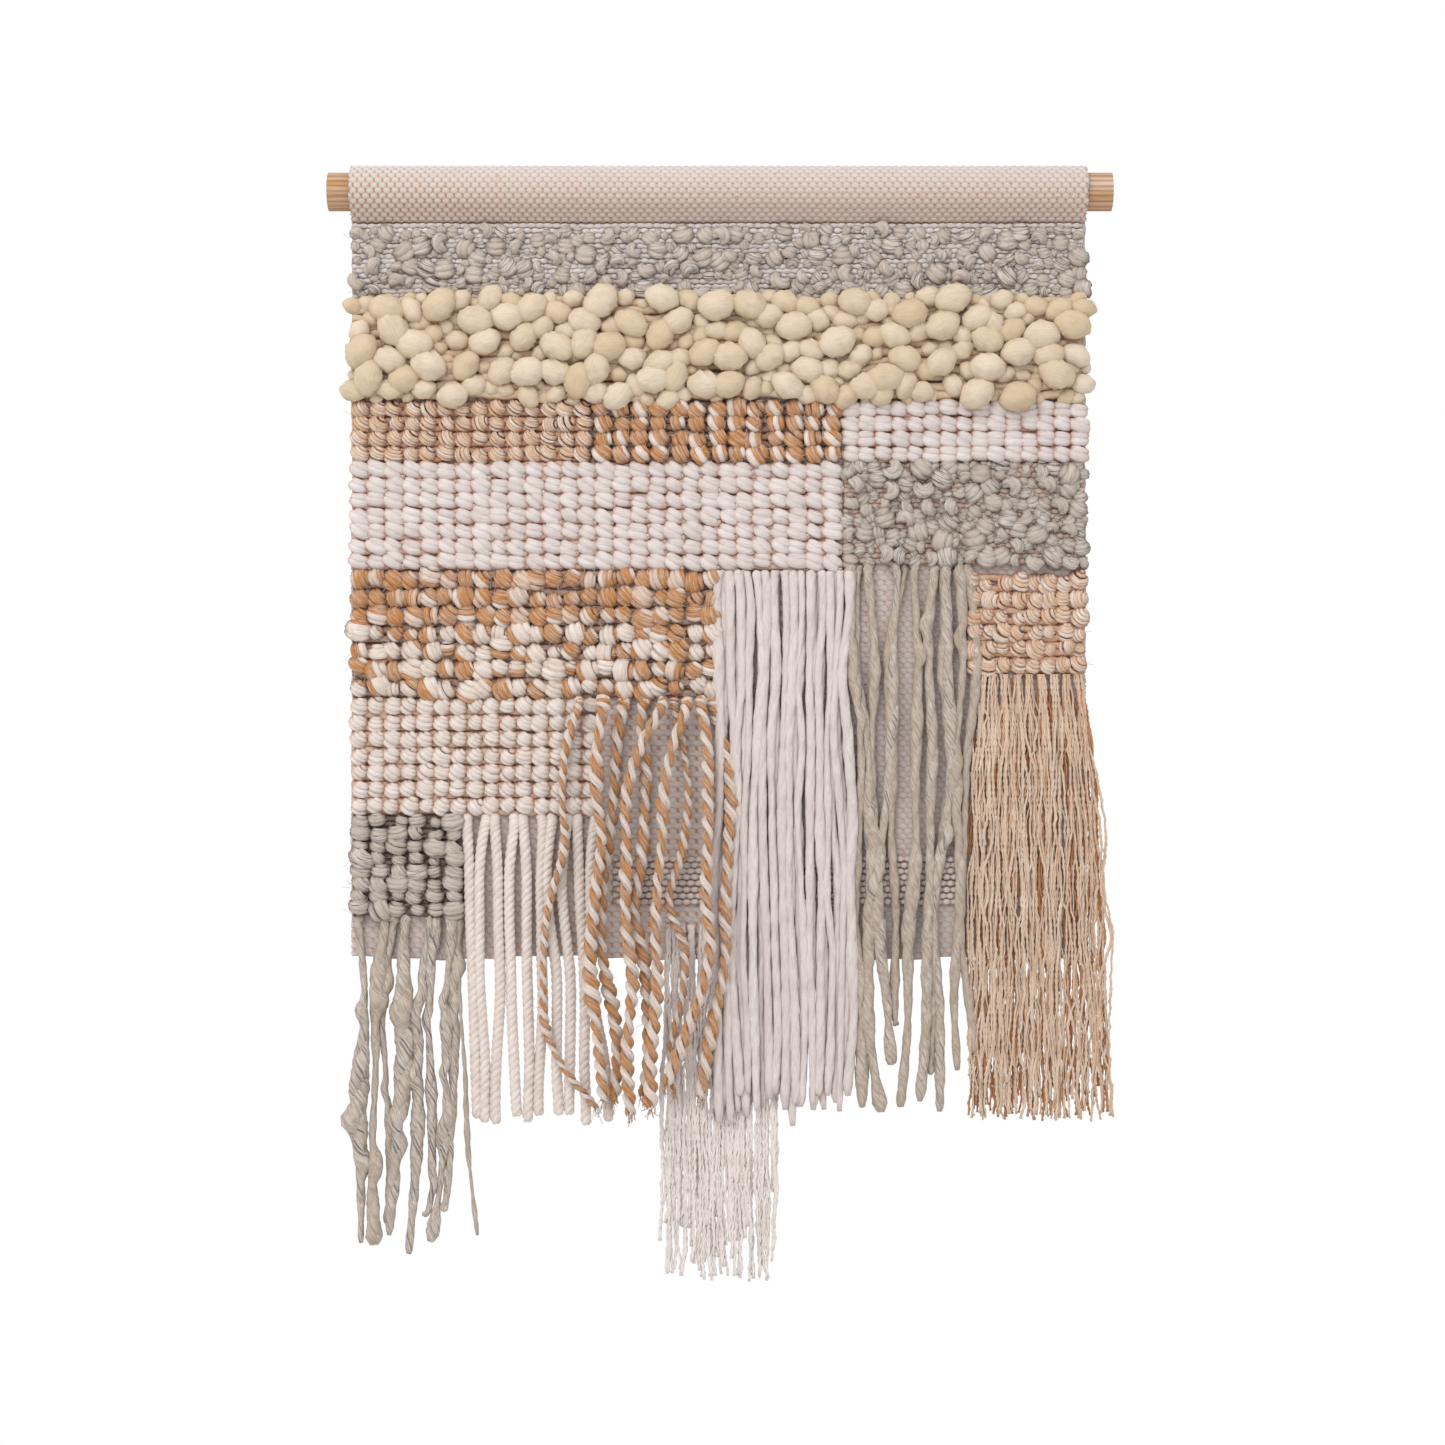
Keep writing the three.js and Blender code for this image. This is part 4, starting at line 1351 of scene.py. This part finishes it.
def make_grey_fringe():
    """Thick-and-thin grey yarn on the right, with a thinner one beside some."""
    pieces = []
    for i in range(1, 8):
        node = f"grey_slub_{i}"
        rng = np.random.default_rng(110 + i)
        base = raised_top(strand_route(node), 6)
        work = YarnWork()
        soft_strand(work, base, 3.8, rng, 2, 44, 2.4, 0.26, step=2.6, wave=75, slub_wave=30, relief=0.2,
                    kinks=1, lump=0.12)
        if i % 2:
            thin = base + (5.4, 1.4, 0)
            thin[-1, 2] += rng.uniform(5, 40)
            soft_strand(work, thin, 2.9, rng, 2, 36, 2.4, 0.3, step=2.6, wave=75, slub_wave=28,
                        relief=0.2, lump=0.12)
        pieces.append(finish_strand(work, f"grey_slub_yarn_{i}", [node],
                                    [wool("slub")]))
    return pieces


def make_tail_fringe():
    """The long grey tails at the lower left."""
    pieces = []
    for i in range(1, 7):
        node = f"grey_tail_{i}"
        rng = np.random.default_rng(130 + i)
        base = raised_top(strand_route(node), 6)
        thin = i == 6
        work = YarnWork()
        if thin:
            soft_strand(work, base, 1.8, rng, 2, 30, 1.0, 0.3, step=3.0, lump=0.12)
        else:
            soft_strand(work, base, 4.0, rng, 2, 46, 2.2, 0.34, step=2.4, wave=80, slub_wave=30,
                        relief=0.2, kinks=3, lump=0.12)
        if i in (2, 4, 5):
            beside = base + (6.5, 1.6, 0)
            beside[-1, 2] += rng.uniform(5, 40)
            soft_strand(work, beside, 3.1, rng, 2, 40, 2.4, 0.36, step=2.4, wave=80, slub_wave=28,
                        relief=0.2, kinks=2, lump=0.12)
        pieces.append(finish_strand(work, f"grey_tail_yarn_{i}", [node],
                                    [wool("slub")]))
    return pieces


def yarn_curtain(node, name, key, seed, count, radius, turn, sway, top_narrow, shorter, clumps,
                 tuck=7.0, shadow=14.0):
    """Many thin two-ply yarns inside one flat bundle of the frame, gathered in clumps at the top."""
    low, high = node_box(node)
    rng = np.random.default_rng(seed)
    work = YarnWork()
    top_low, top_high = low[0] + top_narrow[0], high[0] - top_narrow[1]
    for i in range(count):
        share = (i + rng.uniform(0.1, 0.9)) / count
        clump = (np.floor(share * clumps) + 0.5) / clumps
        gathered = 0.5 * share + 0.5 * clump
        bottom = np.clip(share + rng.normal(0, 0.05), 0, 1)
        x0 = top_low + (top_high - top_low) * gathered
        x1 = low[0] + (high[0] - low[0]) * bottom
        y = high[1] - 0.8 - (high[1] - low[1] - 1.2) * ((i * 0.618) % 1) * 1.3
        tip = low[2] + rng.uniform(-3, 1) + shorter * rng.random() ** 2
        top = high[2] + tuck
        length = top - tip
        rings = int(length / 4.0)
        s = np.linspace(0, length, rings)
        fall = s / length
        spread = np.clip(fall * 2.2, 0, 1)
        x = x0 + (x1 - x0) * (0.55 * spread * (2 - spread) + 0.45 * fall)
        x = x + sway * wander(rng, s, 34) * np.clip(s / 30, 0, 1) + 0.5 * wander(rng, s, 5.5)
        depth = y + 0.5 * wander(rng, s, 40)
        line = np.stack([x, depth, top - s], axis=-1)
        plies = plied(line[None], 2, radius * 0.5, length / turn, rng.uniform(0, 6))
        radii = radius * 0.66 * np.exp(0.2 * wander(rng, s, 14)) * rng.uniform(0.8, 1.2)
        # Yarns behind the others get painted shade: less of the pale ply and, where shadow is given, painted
        # shade nearer the cloth. The front yarns get painted shade only on their sides and backs.
        behind = (i * 0.618) % 1 < 0.45
        pale = rng.random(2) ** (2.5 if behind else 0.7)
        work.tubes(plies, radii[None], 4, tone=rng.random(2), ply=pale, reach=shadow if behind else None)
    return finish_strand(work, name, [node], [wool(key)])


def make_beige_fringe():
    """Thin beige yarns below the small loops, spreading downwards."""
    pieces = []
    for i, narrow in ((1, (5, 2)), (2, (0, 9)), (3, (0, 18))):
        pieces.append(yarn_curtain(
            f"beige_tuft_{i}", f"beige_thin_yarns_{i}", "strands",
            150 + i, 54, 0.95, 9, 1.9, narrow, 30, 3))
    return pieces


def make_fine_fringe():
    """Fine white yarns that hang lowest, behind the ropes."""
    pieces = []
    for i, narrow in ((1, (2, 0)), (2, (0, 2))):
        pieces.append(yarn_curtain(
            f"fine_tuft_{i}", f"fine_white_yarns_{i}", "fine",
            160 + i, 46, 1.2, 12, 1.2, narrow, 60, 5, tuck=-6.0, shadow=None))
    return pieces


# ------------------------------------------------------------------ stage


def make_stage():
    """A pale floor, a white surround, a soft key light and the camera."""
    scene = bpy.context.scene
    lens, sensor = 70.0, 36.0
    shown_width = 0.9494
    centre = Vector((0.0016, 0, -0.3485))
    distance = shown_width * lens / sensor
    data = bpy.data.cameras.new("camera")
    data.lens = lens
    data.sensor_width = sensor
    camera = bpy.data.objects.new("camera", data)
    scene.collection.objects.link(camera)
    camera.location = centre + Vector((0, -distance, 0))
    camera.rotation_euler = (math.pi / 2, 0, 0)
    scene.camera = camera

    bpy.ops.object.select_all(action="DESELECT")
    bpy.ops.mesh.primitive_plane_add(size=6, location=(0, 0, -1.6))
    floor = bpy.context.active_object
    floor.name = "pale_floor"
    material, tree, shader = new_material("pale_floor", 0.9)
    coordinates = tree.nodes.new("ShaderNodeTexCoord")
    speckle = stretched_noise(tree, coordinates.outputs["Object"], (1, 1, 1), 30.0)
    shade = mix_colours(tree, speckle, (0.8, 0.79, 0.78), (0.86, 0.855, 0.85))
    tree.links.new(shade, shader.inputs["Base Color"])
    floor.data.materials.append(material)

    world = bpy.data.worlds.new("white_surround")
    world.use_nodes = True
    world.node_tree.nodes["Background"].inputs["Color"].default_value = (1, 1, 1, 1)
    world.node_tree.nodes["Background"].inputs["Strength"].default_value = 1.0
    scene.world = world
    scene.view_settings.view_transform = "Standard"

    light = bpy.data.lights.new("soft_key", "AREA")
    light.shape = "SQUARE"
    light.size = 1.2
    light.energy = 22
    light.color = (1.0, 0.97, 0.93)
    key = bpy.data.objects.new("soft_key", light)
    scene.collection.objects.link(key)
    key.location = (-0.7, -1.6, 1.1)
    aim = Vector((0, 0, -0.3)) - key.location
    key.rotation_euler = aim.to_track_quat("-Z", "Y").to_euler()


# ------------------------------------------------------------------ operators and panel


def declare_cloth():
    """Takes no step: nothing is declared about the ground cloth."""


def run_makers(operator, *makers):
    """Runs the makers of one step, and stops with an error if a step meant to make pieces adds no object to
    the scene.
    """
    before = len(bpy.context.scene.objects)
    for maker in makers:
        maker()
    if operator.makes_pieces and len(bpy.context.scene.objects) == before:
        raise RuntimeError(operator.bl_label + " made no piece")
    return {"FINISHED"}


class TAPESTRY_OT_stage(bpy.types.Operator):
    """Make the floor, the light and the camera"""

    bl_idname = "tapestry.stage"
    bl_label = "Stage"
    bl_options = {"REGISTER", "UNDO"}
    makes_pieces = True

    def execute(self, context):
        """Makes the pieces of this step."""
        return run_makers(self, make_stage)


class TAPESTRY_OT_dowel(bpy.types.Operator):
    """Make the hardwood dowel"""

    bl_idname = "tapestry.dowel"
    bl_label = "Dowel"
    bl_options = {"REGISTER", "UNDO"}
    makes_pieces = True

    def execute(self, context):
        """Makes the pieces of this step."""
        return run_makers(self, make_dowel)


class TAPESTRY_OT_sleeve(bpy.types.Operator):
    """Weave the sleeve round the dowel and stitch it"""

    bl_idname = "tapestry.sleeve"
    bl_label = "Header sleeve"
    bl_options = {"REGISTER", "UNDO"}
    makes_pieces = True

    def execute(self, context):
        """Makes the pieces of this step."""
        return run_makers(self, make_sleeve, make_seam)


class TAPESTRY_OT_ground(bpy.types.Operator):
    """Weave the ground cloth and its raised ribs"""

    bl_idname = "tapestry.ground"
    bl_label = "Ground cloth"
    bl_options = {"REGISTER", "UNDO"}
    makes_pieces = True

    def execute(self, context):
        """Makes the pieces of this step."""
        return run_makers(self, make_ground_cloth, make_ribs)


class TAPESTRY_OT_grey_pile(bpy.types.Operator):
    """Make the three blocks of grey bubbles"""

    bl_idname = "tapestry.grey_pile"
    bl_label = "Grey pile"
    bl_options = {"REGISTER", "UNDO"}
    makes_pieces = True

    def execute(self, context):
        """Makes the pieces of this step."""
        return run_makers(self, make_grey_band, make_grey_block, make_grey_foot)


class TAPESTRY_OT_cream_pile(bpy.types.Operator):
    """Make the band of cream bubbles"""

    bl_idname = "tapestry.cream_pile"
    bl_label = "Cream pile"
    bl_options = {"REGISTER", "UNDO"}
    makes_pieces = True

    def execute(self, context):
        """Makes the pieces of this step."""
        return run_makers(self, make_cream_band)


class TAPESTRY_OT_beige_pile(bpy.types.Operator):
    """Make both blocks of beige knots"""

    bl_idname = "tapestry.beige_pile"
    bl_label = "Beige pile"
    bl_options = {"REGISTER", "UNDO"}
    makes_pieces = True

    def execute(self, context):
        """Makes the pieces of this step."""
        return run_makers(self, make_beige_block, make_small_loops)


class TAPESTRY_OT_rust_pile(bpy.types.Operator):
    """Make both blocks of two-tone loops"""

    bl_idname = "tapestry.rust_pile"
    bl_label = "Rust pile"
    bl_options = {"REGISTER", "UNDO"}
    makes_pieces = True

    def execute(self, context):
        """Makes the pieces of this step."""
        return run_makers(self, make_rust_block, make_rust_band)


class TAPESTRY_OT_white_pile(bpy.types.Operator):
    """Make the white loops and the wrapped band"""

    bl_idname = "tapestry.white_pile"
    bl_label = "White pile"
    bl_options = {"REGISTER", "UNDO"}
    makes_pieces = True

    def execute(self, context):
        """Makes the pieces of this step."""
        return run_makers(self, make_white_block, make_soumak_band)


class TAPESTRY_OT_ivory_pile(bpy.types.Operator):
    """Make the block of ivory balls"""

    bl_idname = "tapestry.ivory_pile"
    bl_label = "Ivory pile"
    bl_options = {"REGISTER", "UNDO"}
    makes_pieces = True

    def execute(self, context):
        """Makes the pieces of this step."""
        return run_makers(self, make_ivory_block)


class TAPESTRY_OT_rust_fringe(bpy.types.Operator):
    """Make the two-tone ropes"""

    bl_idname = "tapestry.rust_fringe"
    bl_label = "Rust ropes"
    bl_options = {"REGISTER", "UNDO"}
    makes_pieces = True

    def execute(self, context):
        """Makes the pieces of this step."""
        return run_makers(self, make_rust_fringe)


class TAPESTRY_OT_ivory_fringe(bpy.types.Operator):
    """Make the ivory ropes"""

    bl_idname = "tapestry.ivory_fringe"
    bl_label = "Ivory ropes"
    bl_options = {"REGISTER", "UNDO"}
    makes_pieces = True

    def execute(self, context):
        """Makes the pieces of this step."""
        return run_makers(self, make_ivory_fringe)


class TAPESTRY_OT_white_fringe(bpy.types.Operator):
    """Make the soft white strands"""

    bl_idname = "tapestry.white_fringe"
    bl_label = "White roving"
    bl_options = {"REGISTER", "UNDO"}
    makes_pieces = True

    def execute(self, context):
        """Makes the pieces of this step."""
        return run_makers(self, make_white_fringe)


class TAPESTRY_OT_grey_fringe(bpy.types.Operator):
    """Make the grey slubs and the long tails"""

    bl_idname = "tapestry.grey_fringe"
    bl_label = "Grey yarns"
    bl_options = {"REGISTER", "UNDO"}
    makes_pieces = True

    def execute(self, context):
        """Makes the pieces of this step."""
        return run_makers(self, make_grey_fringe, make_tail_fringe)


class TAPESTRY_OT_thin_fringe(bpy.types.Operator):
    """Make the beige and the fine white curtains"""

    bl_idname = "tapestry.thin_fringe"
    bl_label = "Thin yarns"
    bl_options = {"REGISTER", "UNDO"}
    makes_pieces = True

    def execute(self, context):
        """Makes the pieces of this step."""
        return run_makers(self, make_beige_fringe, make_fine_fringe)


class TAPESTRY_OT_declare(bpy.types.Operator):
    bl_idname = "tapestry.declare"
    bl_label = "Declare cloth"
    bl_options = {"REGISTER", "UNDO"}
    makes_pieces = False

    def execute(self, context):
        """Runs this step, which makes no piece."""
        return run_makers(self, declare_cloth)


OPERATORS = [
    TAPESTRY_OT_stage,
    TAPESTRY_OT_dowel,
    TAPESTRY_OT_sleeve,
    TAPESTRY_OT_ground,
    TAPESTRY_OT_grey_pile,
    TAPESTRY_OT_cream_pile,
    TAPESTRY_OT_beige_pile,
    TAPESTRY_OT_rust_pile,
    TAPESTRY_OT_white_pile,
    TAPESTRY_OT_ivory_pile,
    TAPESTRY_OT_rust_fringe,
    TAPESTRY_OT_ivory_fringe,
    TAPESTRY_OT_white_fringe,
    TAPESTRY_OT_grey_fringe,
    TAPESTRY_OT_thin_fringe,
    TAPESTRY_OT_declare,
]


class TAPESTRY_PT_panel(bpy.types.Panel):
    """Lists the steps that make the hanging, and what can be changed."""

    bl_label = "Tapestry Wall Hanging"
    bl_idname = "TAPESTRY_PT_panel"
    bl_space_type = "VIEW_3D"
    bl_region_type = "UI"
    bl_category = "Tapestry"

    def draw(self, context):
        """Draws the settings and the buttons."""
        layout = self.layout
        for group in (context.scene.tapestry_colours, context.scene.tapestry_sizes):
            box = layout.box()
            for name in type(group).__annotations__:
                box.prop(group, name)
        for operator in OPERATORS:
            layout.operator(operator.bl_idname)


CLASSES = [TapestryColours, TapestrySizes, *OPERATORS, TAPESTRY_PT_panel]


def register():
    """Registers the classes and the settings on the scene."""
    for item in CLASSES:
        bpy.utils.register_class(item)
    bpy.types.Scene.tapestry_colours = bpy.props.PointerProperty(type=TapestryColours)
    bpy.types.Scene.tapestry_sizes = bpy.props.PointerProperty(type=TapestrySizes)


def unregister():
    """Removes what register added."""
    del bpy.types.Scene.tapestry_sizes
    del bpy.types.Scene.tapestry_colours
    for item in reversed(CLASSES):
        bpy.utils.unregister_class(item)


def main():
    """Makes the hanging."""
    register()
    for operator in OPERATORS:
        getattr(bpy.ops.tapestry, operator.bl_idname.split(".")[1])()


if __name__ == "__main__":
    main()
